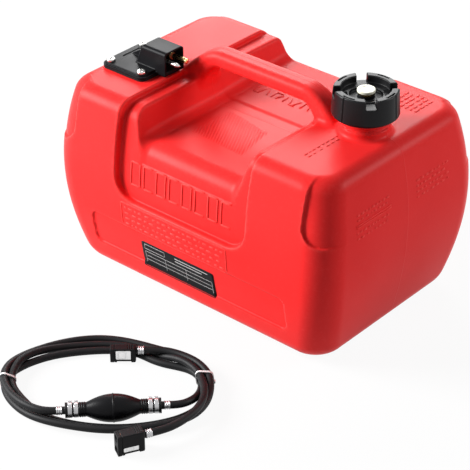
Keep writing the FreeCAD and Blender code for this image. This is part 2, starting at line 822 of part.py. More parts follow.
def oval(spec, height):
    """Closed squarish oval, given by its half sizes and power, raised into a plate."""
    points = []
    for index in range(coil_points):
        angle = 2 * math.pi * index / coil_points
        c = math.cos(angle)
        d = math.sin(angle)
        x = spec["half_length"] * math.copysign(abs(c) ** (2 / spec["power"]), c)
        y = spec["half_width"] * math.copysign(abs(d) ** (2 / spec["power"]), d)
        points.append(Vector(x, spec["centre"] + y, 0))
    curve = Part.BSplineCurve()
    curve.interpolate(points, PeriodicFlag=True)
    return Part.Face(Part.Wire(curve.toShape())).extrude(Vector(0, 0, height))


def coil_blank():
    """Outer shape of the coiled hose: two strands high at its ends, one along the sides."""
    ring_shape = oval(coil_outer, coil_high).cut(oval(coil_inner, coil_high))
    reach = coil_outer["half_width"] + 5
    outline = [
        (coil_low_left - coil_rise, coil_high),
        (coil_low_left, coil_low),
        (coil_low_right, coil_low),
        (coil_low_right + coil_rise, coil_high),
        (coil_low_right + coil_rise, coil_high + 5),
        (coil_low_left - coil_rise, coil_high + 5),
    ]
    ring_shape = ring_shape.cut(prism_xz(outline, -reach, reach))
    edges = level_edges(ring_shape, 0) + level_edges(ring_shape, coil_high) + level_edges(ring_shape, coil_low)
    edges = [e for e in edges if e.Curve.TypeId != "Part::GeomLine"]
    return ring_shape.makeChamfer(coil_edge, edges)


def coil_ties():
    ties = []
    for u, v in (tie_left, tie_right):
        half = tie_width / 2
        block = box(u - 22, v - half, -1, u + 22, v + half, coil_high + 1)
        band = coil_blank().common(block)
        bounds = band.BoundBox
        core = box(bounds.XMin + tie_thickness, v - tie_width, tie_thickness,
                   bounds.XMax - tie_thickness, v + tie_width, coil_high - tie_thickness)
        core = core.makeChamfer(coil_edge - tie_thickness, [e for e in core.Edges if e.BoundBox.YLength > tie_width])
        ties.append(band.cut(core))
    return Part.makeCompound(ties)


def hose_coil():
    return coil_blank().cut(coil_ties())


def fuel_point(spec, along, height):
    """Point on a fitting's own axis, in the fuel line's frame."""
    angle = math.radians(spec["turn"])
    return Vector(spec["u"] + along * math.cos(angle), spec["v"] + along * math.sin(angle), height)


def hose_tube(name, fitting, end, height, route):
    """Round hose along straight runs joined by tangent arcs, trimmed where it joins the coil."""
    run = math.copysign(route["run"], end)
    points = [fuel_point(fitting, end, height), fuel_point(fitting, end + run, height)]
    points += [Vector(*p) for p in route["points"]]
    edges = []
    start = points[0]
    radii = []
    for index in range(1, len(points) - 1):
        before = points[index - 1] - points[index]
        after = points[index + 1] - points[index]
        half_turn = (math.pi - before.getAngle(after)) / 2
        reach = 0.45 * min(before.Length, after.Length)
        radii.append(round(reach / math.tan(half_turn), 1))
        first = points[index] + before.normalize() * reach
        last = points[index] + after.normalize() * reach
        bisector = (before + after).normalize()
        sag = reach / math.tan(half_turn) * (1 / math.cos(half_turn) - 1)
        edges.append(Part.LineSegment(start, first).toShape())
        edges.append(Part.Arc(first, points[index] + bisector * sag, last).toShape())
        start = last
    edges.append(Part.LineSegment(start, points[-1]).toShape())
    path = Part.Wire(edges)
    circle = Part.makeCircle(hose_radius, points[0], points[1] - points[0])
    tube = path.makePipeShell([Part.Wire(circle)], True, False)
    expected = math.pi * hose_radius ** 2 * path.Length
    print(name, "bend radii", radii, "length", round(path.Length, 1), "volume", round(tube.Volume / expected, 4))
    trimmed = tube.cut(coil_blank())
    pieces = sorted(trimmed.Solids, key=lambda solid: solid.Volume)
    return pieces[-1]


def lathe_x(points, radii):
    """Solid of revolution about the X axis; points are (along, radius)."""
    wire = rounded_polygon(points, radii, lambda a, b: Vector(a, 0, b))
    return Part.Face(wire).revolve(Vector(0, 0, 0), Vector(1, 0, 0), 360)


def tube_x(outer, inner, x0, x1):
    return along_x(outer, x0, x1, 0, 0).cut(along_x(inner, x0 - 1, x1 + 1, 0, 0))


def both_ends(shape):
    """The piece and its mirror at the other end of the bulb."""
    return [shape, shape.mirror(Vector(0, 0, 0), Vector(1, 0, 0))]


def on_bulb(shape):
    return laid(shape, bulb_u, bulb_v, bulb_axis_height, bulb_turn)


def primer_bulb():
    end = bulb_neck_end
    waist = bulb_swell
    points = ((-end, 0), (-end, bulb_neck_radius), (-waist, bulb_neck_radius), (-waist * 0.5, bulb_radius),
              (waist * 0.5, bulb_radius), (waist, bulb_neck_radius), (end, bulb_neck_radius), (end, 0))
    outer = lathe_x(points, (0, 0.6, 8.0, 38.0, 38.0, 8.0, 0.6, 0))
    inner_end = valve_start
    inner_neck = valve_radius - 1.6
    inner_top = bulb_radius - bulb_wall
    hollow = ((-inner_end, 0), (-inner_end, inner_neck), (-waist, inner_neck), (-waist * 0.5, inner_top),
              (waist * 0.5, inner_top), (waist, inner_neck), (inner_end, inner_neck), (inner_end, 0))
    inner = lathe_x(hollow, (0, 0, 1.2, 32.0, 32.0, 1.2, 0, 0))
    half = bulb_ridge_width / 2
    rings = [tube_x(bulb_radius + bulb_ridge, bulb_radius - 1.0, -half, half)]
    for place in bulb_rib_places:
        rings += both_ends(tube_x(bulb_neck_radius + bulb_ridge, bulb_neck_radius - 1.0, place - half, place + half))
    bores = both_ends(along_x(valve_radius, valve_start, bulb_neck_end + 1, 0, 0))
    return on_bulb(outer.fuse(rings).cut([inner] + bores).removeSplitter())


def valve_body():
    """Check valve housing: spigot in the bulb's neck, collar, hose barb and poppet chamber."""
    spigot = along_x(valve_radius, valve_start, bulb_neck_end, 0, 0)
    collar = along_x(valve_collar_radius, bulb_neck_end, valve_collar_end, 0, 0)
    neck = along_x(valve_neck_radius, valve_collar_end, valve_neck_end, 0, 0)
    end = valve_neck_end + barb_length
    barb = along_x(barb_radius, valve_neck_end, end, 0, 0)
    port = along_x(port_radius, valve_start - 1, end + 1, 0, 0)
    chamber = along_x(chamber_radius, chamber_start, chamber_start + chamber_length, 0, 0)
    return spigot.fuse([collar, neck, barb]).cut([port, chamber]).removeSplitter()


def valve_body_right():
    return on_bulb(valve_body())


def valve_body_left():
    return on_bulb(both_ends(valve_body())[1])


def poppet(x0):
    """Valve poppet with three flats for the fuel to pass."""
    body = along_x(poppet_radius, x0, x0 + poppet_length, 0, 0)
    flat = box(x0 + 1.2, -4, poppet_radius * 0.72, x0 + poppet_length + 1, 4, 6)
    for turn in (0, 120, 240):
        cut = flat.copy()
        cut.rotate(Vector(0, 0, 0), Vector(1, 0, 0), turn)
        body = body.cut(cut)
    return on_bulb(body)


def poppet_right():
    return poppet(chamber_start)


def poppet_left():
    return poppet(-chamber_start - chamber_length)


def bulb_bands():
    bands = []
    for place in band_places:
        half = band_width / 2
        bands += both_ends(tube_x(bulb_neck_radius + band_thickness, bulb_neck_radius, place - half, place + half))
    return Part.makeCompound([on_bulb(band) for band in bands])


def at_connector(shape, spec):
    return laid(shape, spec["u"], spec["v"], 0, spec["turn"])


def latch_pin_place(spec):
    x = latch_start + latch_length - latch_barrel_radius
    y = -spec["depth"] / 2 + latch_recess + latch_barrel_radius
    return x, y


def hose_start(spec):
    """Distance from the socket face to the hose's end."""
    return spec["length"] + connector_neck_length + connector_barb_length


def connector_body(spec):
    length = spec["length"]
    half = spec["depth"] / 2
    height = spec["height"]
    block = box(0, -half, 0, length, half, height)
    block = block.makeFillet(connector_edge, [e for e in block.Edges if e.BoundBox.XLength > length - 1])
    neck = along_x(connector_neck_radius, length - 3, length + connector_neck_length, 0, spec["barb_height"])
    barb_start = length + connector_neck_length
    barb = along_x(barb_radius, barb_start, hose_start(spec), 0, spec["barb_height"])
    body = block.fuse([neck, barb])
    low = spec["latch_low"]
    high = spec["latch_high"]
    gap = seat_gap
    cuts = [box(latch_start - gap, -half - 1, low - gap, latch_start + latch_length + gap, latch_pocket - half, high + gap)]
    pin_x, pin_y = latch_pin_place(spec)
    cuts.append(cylinder(latch_barrel_radius + gap, pin_x, pin_y, low - gap, high + gap))
    cuts.append(cylinder(latch_pin_radius, pin_x, pin_y, low - latch_pin_reach, high + latch_pin_reach))
    cuts.append(box(latch_start + 1, -half - 1, -1, latch_start + latch_length, half + 1, connector_foot))
    for side in (-1, 1):
        z = height / 2 + side * spec["pitch"] / 2
        cuts.append(along_x(spec["socket"], -1, spec["socket_depth"], 0, z))
    top = height / 2 + spec["pitch"] / 2
    cuts.append(along_x(connector_seal_radius * spec["socket"] / 3.0, 3.0, 3.0 + connector_seal_length, 0, top))
    cuts.append(along_x(port_radius * 0.9, spec["socket_depth"] - 2, length + 20, 0, spec["barb_height"]))
    return at_connector(body.cut(cuts).removeSplitter(), spec)


def connector_seal(spec):
    """Ring seal in the groove of the fuel socket."""
    z = spec["height"] / 2 + spec["pitch"] / 2
    x = 3.0
    outer = along_x(connector_seal_radius * spec["socket"] / 3.0, x, x + connector_seal_length, 0, z)
    inner = along_x(spec["socket"] - 0.15, x - 1, x + connector_seal_length + 1, 0, z)
    return at_connector(outer.cut(inner), spec)


def connector_latch(spec):
    """Metal latch plate with a turned-in lip and a barrel round its pin."""
    low = spec["latch_low"]
    high = spec["latch_high"]
    front = -spec["depth"] / 2 + latch_recess
    back = front + latch_thickness
    plate = box(latch_start, front, low, latch_start + latch_length - latch_barrel_radius, back, high)
    lip = box(latch_start, front, low + 1, latch_start + latch_thickness, back + 0.6, high - 1)
    pin_x, pin_y = latch_pin_place(spec)
    barrel = cylinder(latch_barrel_radius, pin_x, pin_y, low, high)
    hole = cylinder(latch_pin_radius + pin_fit, pin_x, pin_y, low - 1, high + 1)
    return at_connector(plate.fuse([lip, barrel]).cut(hole), spec)


def connector_pin(spec):
    low = spec["latch_low"]
    high = spec["latch_high"]
    pin_x, pin_y = latch_pin_place(spec)
    return at_connector(cylinder(latch_pin_radius, pin_x, pin_y, low - latch_pin_reach, high + latch_pin_reach), spec)


def hose_clips():
    """Crimped clips where the hoses end on barbs."""
    end = valve_neck_end + barb_length
    clips = [on_bulb(clip) for clip in both_ends(tube_x(clip_radius, barb_radius, valve_neck_end, end))]
    for spec in (small_connector, large_connector):
        start = spec["length"] + connector_neck_length
        clip = tube_x(clip_radius, barb_radius, start, hose_start(spec))
        clip.translate(Vector(0, 0, spec["barb_height"]))
        clips.append(at_connector(clip, spec))
    return Part.makeCompound(clips)


def write_fuel_line():
    write("hose_coil", laid(hose_coil()))
    write("coil_ties", laid(coil_ties()))
    bulb = {"u": bulb_u, "v": bulb_v, "turn": bulb_turn}
    bulb_end = valve_neck_end + barb_length
    tubes = {
        "hose_tail_a": (small_connector, hose_start(small_connector), small_connector["barb_height"], tail_a),
        "hose_tail_b": (large_connector, hose_start(large_connector), large_connector["barb_height"], tail_b),
        "hose_stub_right": (bulb, bulb_end, bulb_axis_height, stub_right),
        "hose_stub_left": (bulb, -bulb_end, bulb_axis_height, stub_left),
    }
    for name, (fitting, end, height, route) in tubes.items():
        write(name, laid(hose_tube(name, fitting, end, height, route)))
    for make in (primer_bulb, valve_body_left, valve_body_right, poppet_left, poppet_right, bulb_bands, hose_clips):
        write(make.__name__, make())
    for letter, spec in (("a", small_connector), ("b", large_connector)):
        write("connector_body_" + letter, connector_body(spec))
        write("connector_seal_" + letter, connector_seal(spec))
        write("connector_latch_" + letter, connector_latch(spec))
        write("connector_pin_" + letter, connector_pin(spec))


def main():
    os.makedirs("parts", exist_ok=True)
    write("tank_shell", tank_shell())
    for make in (connector_gasket, outlet_housing, housing_screws, screw_inserts, fuel_nipple, nipple_oring,
                 guide_pin, pickup_spigot, pickup_tube, pickup_strainer, filler_cap, cap_gasket, cap_liner,
                 vent_seal, vent_collar, vent_knob, vent_clip):
        write(make.__name__, make())
    write_fuel_line()


main()
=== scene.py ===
import math
import bmesh
import bpy
import numpy as np
from mathutils import Matrix, Vector


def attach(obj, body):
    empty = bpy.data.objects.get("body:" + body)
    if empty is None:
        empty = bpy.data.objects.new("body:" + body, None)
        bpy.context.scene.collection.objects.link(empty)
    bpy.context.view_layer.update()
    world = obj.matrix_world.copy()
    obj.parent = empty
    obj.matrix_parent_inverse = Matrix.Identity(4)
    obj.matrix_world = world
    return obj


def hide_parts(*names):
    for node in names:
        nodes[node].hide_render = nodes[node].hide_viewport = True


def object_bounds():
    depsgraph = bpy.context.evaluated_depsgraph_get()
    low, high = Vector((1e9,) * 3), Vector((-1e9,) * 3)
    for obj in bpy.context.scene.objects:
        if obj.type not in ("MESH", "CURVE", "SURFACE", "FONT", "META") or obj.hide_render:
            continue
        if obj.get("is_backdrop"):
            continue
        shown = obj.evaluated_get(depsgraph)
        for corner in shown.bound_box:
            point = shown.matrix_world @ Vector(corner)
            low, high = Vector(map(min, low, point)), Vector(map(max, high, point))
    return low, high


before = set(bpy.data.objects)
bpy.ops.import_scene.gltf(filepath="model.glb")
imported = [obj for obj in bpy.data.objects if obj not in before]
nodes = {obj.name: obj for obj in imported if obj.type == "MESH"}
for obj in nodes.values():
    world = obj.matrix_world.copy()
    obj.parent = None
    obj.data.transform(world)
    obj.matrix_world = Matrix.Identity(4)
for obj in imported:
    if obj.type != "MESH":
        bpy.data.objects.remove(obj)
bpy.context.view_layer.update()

mm = 0.001
print("frame loaded:", len(nodes), "solids")


# camera
camera = {
    "azimuth": 40.9, "elevation": 32.0, "distance": 1.7728, "target": (0.0548, -0.1078, 0.110),
    "lens": 140.7, "near": 0.05, "far": 20.0,
}


def addObject(name, data):
    made = bpy.data.objects.new(name, data)
    bpy.context.scene.collection.objects.link(made)
    return made


def addCamera(spec):
    a, e = math.radians(spec["azimuth"]), math.radians(spec["elevation"])
    back = Vector((math.sin(a) * math.cos(e), -math.cos(a) * math.cos(e), math.sin(e)))
    data = bpy.data.cameras.new("camera")
    data.lens = spec["lens"]
    data.clip_start, data.clip_end = spec["near"], spec["far"]
    view = addObject("camera", data)
    view.location = Vector(spec["target"]) + back * spec["distance"]
    view.rotation_euler = (-back).to_track_quat("-Z", "Y").to_euler()
    bpy.context.scene.camera = view


addCamera(camera)
print("camera placed")


# fuel hose
fuelLine = {"x": 27.0, "y": -262.0, "turn": 40.9, "hoseRadius": 3.7, "stepsAlong": 12, "stepsRound": 6}
bulbPlace = {"u": 9.5, "v": -49.5, "height": 14.0, "turn": 4.9}
connectorA = {
    "u": 1.0, "v": 45.5, "turn": 0.0, "length": 25.0, "depth": 10.0, "height": 15.5, "pitch": 7.0,
    "socket": 2.2, "barb": 11.4, "low": 3.0, "high": 13.4,
}
connectorB = {
    "u": 14.6, "v": -99.1, "turn": 21.0, "length": 26.0, "depth": 12.0, "height": 21.6, "pitch": 13.0,
    "socket": 3.0, "barb": 14.5, "low": 3.0, "high": 7.8,
}

# control points in the fuel line's own frame, in millimetres: along, across, height
hoseA = (
    (34.2, 45.5, 11.4), (44, 45.5, 11.4), (54, 45, 11.4), (65, 41, 11.3), (76, 34.5, 11.3),
    (86.5, 25.5, 11.2), (94.9, 12.5, 11.1), (98.6, -1, 10.9), (99, -15, 9.6), (96.5, -30, 7.8),
    (88.5, -46.5, 7.2), (75, -58.5, 7.2), (58, -66, 7.2), (38, -71, 7.2), (18, -73.5, 7.2), (-4, -73, 7.2),
    (-26, -68.5, 7.2), (-46, -62.3, 7), (-62, -54, 6), (-75, -43, 4.5), (-86, -29, 3.8), (-94, -14, 3.7),
    (-97.5, 1, 3.7), (-95.5, 14, 3.7), (-87, 26, 3.7), (-73.5, 37.5, 3.7), (-55, 47.3, 3.7), (-33, 53, 3.7),
    (-10, 56, 3.7), (10, 56, 3.7), (23.5, 52.6, 3.7), (34, 46.2, 3.7), (43, 39, 3.7), (54, 33.2, 3.7),
    (66, 29.2, 3.7), (78, 24.2, 3.7), (86.3, 16, 3.7), (90.2, 4, 3.7), (90.3, -8, 5.2), (88.3, -20, 8.2),
    (84.6, -31.5, 11.4), (77, -41, 13.6), (69, -44.6, 14), (61.9, -45, 14),
)
hoseB = (
    (-42.7, -54, 14), (-52, -54.4, 14), (-63, -51, 14.2), (-75, -42.5, 14), (-85.5, -30, 13.2),
    (-93.3, -15, 12), (-97.9, 1, 11.1), (-97.7, 16, 10.2), (-93, 31, 8.2), (-84, 45, 5.5), (-71, 56.5, 4),
    (-54, 66.3, 3.7), (-33, 73.6, 3.7), (-10, 76.3, 3.7), (11, 72.8, 3.7), (30, 65.7, 3.7), (48, 57.3, 3.7),
    (64, 50.2, 3.7), (78, 42, 3.7), (89.5, 30, 3.7), (96.2, 16, 3.7), (98.5, 2, 3.7), (97.2, -12, 3.7),
    (93, -27, 3.7), (84, -42, 3.7), (71, -52.5, 3.7), (54, -60, 3.7), (34, -65, 3.7), (12, -67, 3.7),
    (-10, -65.2, 3.7), (-30, -60.5, 3.7), (-46, -54.2, 3.7), (-58.5, -46.5, 3.9), (-69, -36.5, 4.8),
    (-79, -24, 6.2), (-87, -11, 7.2), (-91, 3, 7.6), (-90, 16, 9), (-85.3, 30, 10.6), (-76.5, 41.5, 9.6),
    (-65, 51, 7.6), (-48.5, 59.2, 5), (-28, 64.4, 3.7), (-8, 66, 3.7), (12, 64.2, 3.7), (27.5, 58.2, 3.7),
    (39.5, 51.6, 3.7), (49.5, 45.6, 4.2), (58.5, 39.3, 7.4), (67, 32, 11), (76, 25, 11.5),
    (83.6, 15.8, 11.3), (88.9, 5.5, 11.2), (91.6, -6, 12.4), (93.6, -20, 14.4), (93, -36, 15),
    (88, -50.5, 15), (79.5, -64, 15), (68, -75.7, 14.8), (57.5, -82.4, 14.5), (46.3, -86.9, 14.5),
)


def linePoint(u, v, height):
    # a place in the fuel line's own frame, moved to the tank's frame, in metres
    t = math.radians(fuelLine["turn"])
    x = fuelLine["x"] + u * math.cos(t) - v * math.sin(t)
    y = fuelLine["y"] + u * math.sin(t) + v * math.cos(t)
    return Vector((x, y, height)) * mm


def addHose(name, route):
    data = bpy.data.curves.new(name, "CURVE")
    data.dimensions = "3D"
    spline = data.splines.new("NURBS")
    spline.points.add(len(route) - 1)
    for point, place in zip(spline.points, route):
        point.co = (*linePoint(*place), 1.0)
    spline.order_u = 3
    spline.use_endpoint_u = True
    spline.resolution_u = fuelLine["stepsAlong"]
    data.bevel_depth = fuelLine["hoseRadius"] * mm
    data.bevel_resolution = fuelLine["stepsRound"]
    return addObject(name, data)


hoses = {"hose_a": addHose("hose_a", hoseA), "hose_b": addHose("hose_b", hoseB)}
print("hoses laid")


# forms as distance fields
def roundMax(a, b, r):
    # overlap of two forms, its outer edge rounded to radius r
    return np.minimum(np.maximum(a, b), -r) + np.hypot(np.maximum(a + r, 0), np.maximum(b + r, 0))


def roundMin(a, b, r):
    # two forms joined, the inner corner filled to radius r
    return np.maximum(np.minimum(a, b), r) - np.hypot(np.maximum(r - a, 0), np.maximum(r - b, 0))


def roundCorner(p, q, r):
    # corner of radius r between two faces; p and q are measured from the corner's centre
    return np.hypot(np.maximum(p, 0), np.maximum(q, 0)) + np.minimum(np.maximum(p, q), 0) - r


def roundBox(a, b, halfA, halfB, r):
    # rectangle with rounded corners, about the origin
    return roundCorner(np.abs(a) - halfA + r, np.abs(b) - halfB + r, r)


def rollEdge(a, b, r, lean):
    # outer edge of two faces rounded by a rolling ball; lean is the cosine between their normals
    p, q = a + r, b + r
    corner = np.sqrt(np.maximum(p * p + q * q - 2 * lean * p * q, 0) / (1 - lean ** 2)) - r
    return np.where((p > lean * q) & (q > lean * p), corner, np.maximum(a, b))


def slab(a, low, high):
    return np.maximum(low - a, a - high)


def skinOf(field, low, high, step):
    # quads over the field's zero level: one vertex in each grid cell that it crosses, then drawn on to it
    axes = [np.arange(a, b + step, step, dtype=np.float32) for a, b in zip(low, high)]
    grid = np.meshgrid(*axes, indexing="ij", sparse=True)
    shape = tuple(len(a) for a in axes)
    value = np.broadcast_to(field(*grid), shape).astype(np.float32)
    inside = value < 0
    corners = [(i, j, k) for i in (0, 1) for j in (0, 1) for k in (0, 1)]
    cut = [slice(0, -1), slice(1, None)]
    count = sum(inside[cut[i], cut[j], cut[k]].astype(np.int8) for i, j, k in corners)
    cells = np.argwhere((count > 0) & (count < 8))
    index = np.full(count.shape, -1, np.int32)
    index[tuple(cells.T)] = np.arange(len(cells))
    total = np.zeros((len(cells), 3))
    found = np.zeros(len(cells))
    for a in corners:
        for axis in range(3):
            if a[axis]:
                continue
            b = list(a)
            b[axis] = 1
            va = value[tuple((cells + a).T)]
            vb = value[tuple((cells + b).T)]
            crossed = (va < 0) != (vb < 0)
            share = np.where(crossed, va / np.where(crossed, va - vb, 1), 0)
            place = cells + np.array(a, float)
            place[:, axis] += share
            total += place * crossed[:, None]
            found += crossed
    points = total / found[:, None] * step + np.array([a[0] for a in axes])
    faces = []
    for axis in range(3):
        one, two = [n for n in range(3) if n != axis]
        span = [slice(1, -1)] * 3
        span[axis] = slice(0, -1)
        ahead = list(span)
        ahead[axis] = slice(1, None)
        here, there = inside[tuple(span)], inside[tuple(ahead)]
        edges = np.argwhere(here != there)
        flipped = here[tuple(edges.T)] ^ (axis == 1)
        offset = np.ones(3, int)
        offset[axis] = 0
        base = edges + offset
        ring = []
        for p, q in ((-1, -1), (0, -1), (0, 0), (-1, 0)):
            cell = base.copy()
            cell[:, one] += p
            cell[:, two] += q
            ring.append(index[tuple(cell.T)])
        quad = np.stack(ring, 1)
        quad[~flipped] = quad[~flipped][:, ::-1]
        faces.append(quad)
    faces = np.concatenate(faces)
    small = step * 0.2
    for _ in range(3):
        x, y, z = points.T
        level = field(x, y, z)
        slope = np.stack([field(x + small, y, z) - field(x - small, y, z),
                          field(x, y + small, z) - field(x, y - small, z),
                          field(x, y, z + small) - field(x, y, z - small)], 1) / (2 * small)
        move = slope * (level / np.maximum((slope ** 2).sum(1), 0.2))[:, None]
        size = np.maximum(np.linalg.norm(move, axis=1, keepdims=True), 1e-9)
        points = points - move * np.minimum(1, step * 0.6 / size)
    return points, faces


def slopeOf(field, points, small):
    # outward direction of the field at each point
    slope = [field(*(points + s).T) - field(*(points - s).T) for s in np.eye(3) * small]
    slope = np.stack(slope, 1)
    return slope / np.maximum(np.linalg.norm(slope, axis=1, keepdims=True), 1e-9)


def meshFrom(name, points, faces, sharpAngle=None):
    # mesh object from arrays, in millimetres, shaded smooth
    data = bpy.data.meshes.new(name)
    data.vertices.add(len(points))
    data.vertices.foreach_set("co", (np.asarray(points, float) * mm).ravel())
    sizes = np.full(len(faces), faces.shape[1])
    data.loops.add(int(sizes.sum()))
    data.loops.foreach_set("vertex_index", faces.ravel().astype(np.int32))
    data.polygons.add(len(faces))
    data.polygons.foreach_set("loop_start", np.concatenate([[0], np.cumsum(sizes)[:-1]]).astype(np.int32))
    data.update(calc_edges=True)
    data.validate()
    data.shade_smooth()
    if sharpAngle:
        data.set_sharp_from_angle(angle=math.radians(sharpAngle))
    return addObject(name, data)


def formPiece(name, field, low, high, step):
    # skin of a field inside the given bounds, shaded by the field's own slope
    points, faces = skinOf(field, low, high, step)
    piece = meshFrom(name, points, faces)
    if len(piece.data.vertices) == len(points):
        piece.data.normals_split_custom_set_from_vertices(slopeOf(field, points, step * 0.15))
    return piece


def turnedPoints(profile, segments):
    # points and faces of a closed profile of (along, radius) turned about +X
    count = len(profile)
    points = []
    for along, radius in profile:
        for s in range(segments):
            t = 2 * math.pi * s / segments
            points.append((along, radius * math.cos(t), radius * math.sin(t)))
    faces = []
    for i in range(count):
        j = (i + 1) % count
        for s in range(segments):
            t = (s + 1) % segments
            faces.append((i * segments + s, i * segments + t, j * segments + t, j * segments + s))
    return np.array(points), np.array(faces)


crispAngle = 35  # degrees between faces above which an edge stays sharp
ribbedAngle = 40  # the same for ribbed and knurled pieces


def softProfile(corners, steps):
    # closed profile from (along, radius, corner radius), each corner rounded
    result = []
    for i, (a, r, soft) in enumerate(corners):
        here = Vector((a, r))
        before = Vector(corners[i - 1][:2]) - here
        after = Vector(corners[(i + 1) % len(corners)][:2]) - here
        reach = min(soft, before.length * 0.49, after.length * 0.49)
        if reach < 0.01:
            result.append((a, r))
            continue
        first, last = here + before.normalized() * reach, here + after.normalized() * reach
        for n in range(steps + 1):
            t = n / steps
            p = first * (1 - t) ** 2 + here * 2 * t * (1 - t) + last * t ** 2
            result.append((p.x, p.y))
    return result


def turnedPiece(name, corners, segments, steps=5):
    points, faces = turnedPoints(softProfile(corners, steps), segments)
    return meshFrom(name, points, faces, crispAngle)


def moved(piece, x, y, z, turn=None):
    # mesh turned, then carried to a place in millimetres
    piece.data.transform(Matrix.Translation(Vector((x, y, z)) * mm) @ (turn or Matrix()))
    return piece


# shader helpers
def newGroup(name, inputs, outputs):
    # empty shader node group with named sockets. inputs: (name, kind, default)
    group = bpy.data.node_groups.new(name, "ShaderNodeTree")
    for label, kind, default in inputs:
        socket = group.interface.new_socket(label, in_out="INPUT", socket_type=kind)
        socket.default_value = default
    for label, kind in outputs:
        group.interface.new_socket(label, in_out="OUTPUT", socket_type=kind)
    return group, group.nodes.new("NodeGroupInput"), group.nodes.new("NodeGroupOutput")


def addNode(tree, kind, values=None, **settings):
    node = tree.nodes.new(kind)
    for key, value in settings.items():
        setattr(node, key, value)
    for key, value in (values or {}).items():
        socket = node.inputs[key]
        if isinstance(value, bpy.types.NodeSocket):
            tree.links.new(value, socket)
        else:
            socket.default_value = value
    return node


def math2(tree, operation, a, b):
    return addNode(tree, "ShaderNodeMath", {0: a, 1: b}, operation=operation).outputs[0]


def rampBetween(tree, factor, low, high, a, b):
    # number that goes from a to b as factor goes from low to high
    values = {"Value": factor, "From Min": low, "From Max": high, "To Min": a, "To Max": b}
    return addNode(tree, "ShaderNodeMapRange", values).outputs["Result"]


def mixColour(tree, factor, a, b):
    node = tree.nodes.new("ShaderNodeMix")
    node.data_type = "RGBA"
    for socket, value in ((node.inputs[0], factor), (node.inputs[6], a), (node.inputs[7], b)):
        if isinstance(value, bpy.types.NodeSocket):
            tree.links.new(value, socket)
        elif isinstance(value, (tuple, list)):
            socket.default_value = (*value, 1.0)
        else:
            socket.default_value = value
    return node.outputs[2]


def objectPlace(tree):
    return tree.nodes.new("ShaderNodeTexCoord").outputs["Object"]


def noiseOf(tree, place, scale, detail):
    values = {"Vector": place, "Scale": scale, "Detail": detail}
    return addNode(tree, "ShaderNodeTexNoise", values).outputs["Fac"]


def makeGrainGroup():
    # fine moulded grain: a height and a slow mottle, both from the piece's own coordinates
    group, inside, outside = newGroup(
        "mouldedGrain",
        (("Scale", "NodeSocketFloat", 900.0), ("Mottle Scale", "NodeSocketFloat", 14.0)),
        (("Height", "NodeSocketFloat"), ("Mottle", "NodeSocketFloat")))
    place = objectPlace(group)
    for label, scale, detail in (("Height", "Scale", 3.0), ("Mottle", "Mottle Scale", 2.0)):
        noise = noiseOf(group, place, inside.outputs[scale], detail)
        group.links.new(noise, outside.inputs[label])
    return group


rubbed = {"start": 0.53, "end": 0.62, "noiseScale": 320.0, "noiseAmount": 0.06}


def makeEdgeGroup():
    # mask of rubbed, outward edges, broken up by noise
    group, inside, outside = newGroup(
        "rubbedEdges",
        (("Start", "NodeSocketFloat", rubbed["start"]), ("End", "NodeSocketFloat", rubbed["end"])),
        (("Mask", "NodeSocketFloat"),))
    pointy = group.nodes.new("ShaderNodeNewGeometry").outputs["Pointiness"]
    noise = noiseOf(group, objectPlace(group), rubbed["noiseScale"], 2.0)
    rough = math2(group, "MULTIPLY", math2(group, "SUBTRACT", noise, 0.5), rubbed["noiseAmount"])
    summed = math2(group, "ADD", pointy, rough)
    mask = rampBetween(group, summed, inside.outputs["Start"], inside.outputs["End"], 0.0, 1.0)
    group.links.new(mask, outside.inputs["Mask"])
    return group


grainGroup = makeGrainGroup()
edgeGroup = makeEdgeGroup()


def newMaterial(name):
    material = bpy.data.materials.new(name)
    material.use_nodes = True
    return material, material.node_tree, material.node_tree.nodes["Principled BSDF"]


def useGroup(tree, group, **values):
    node = tree.nodes.new("ShaderNodeGroup")
    node.node_tree = group
    for key, value in values.items():
        node.inputs[key.replace("_", " ")].default_value = value
    return node


def addBump(tree, height, strength, distance, below=None):
    # normal from a height, laid over the bump below it
    values = {"Height": height, "Strength": strength, "Distance": distance}
    if below is not None:
        values["Normal"] = below
    return addNode(tree, "ShaderNodeBump", values).outputs["Normal"]


def joinShader(tree, shader, colour, rough, normal, specular):
    # a number for rough or specular is set on the shader's own socket
    for label, value in (("Base Color", colour), ("Roughness", rough), ("Normal", normal),
                         ("Specular IOR Level", specular)):
        if isinstance(value, bpy.types.NodeSocket):
            tree.links.new(value, shader.inputs[label])
        else:
            shader.inputs[label].default_value = value


def mottled(tree, grain, a, b):
    # number that wanders from a to b with the slow mottle
    return rampBetween(tree, grain.outputs["Mottle"], 0.3, 0.7, a, b)


usualFinish = {
    "depth": 0.86, "mottle": 20.0, "wear": 0.3, "bump": 0.15, "bumpDistance": 0.0002,
    "smoother": 0.04, "rougher": 0.05, "specular": 0.5,
}
usualMetal = {
    "stretch": (1, 6, 6), "tarnishScale": 120.0, "tarnishFrom": 0.42, "tarnishTo": 0.7, "tarnishMost": 0.6,
    "bump": 0.08, "bumpDistance": 0.0001, "smoother": 0.05, "rougher": 0.08, "specular": 0.5,
}


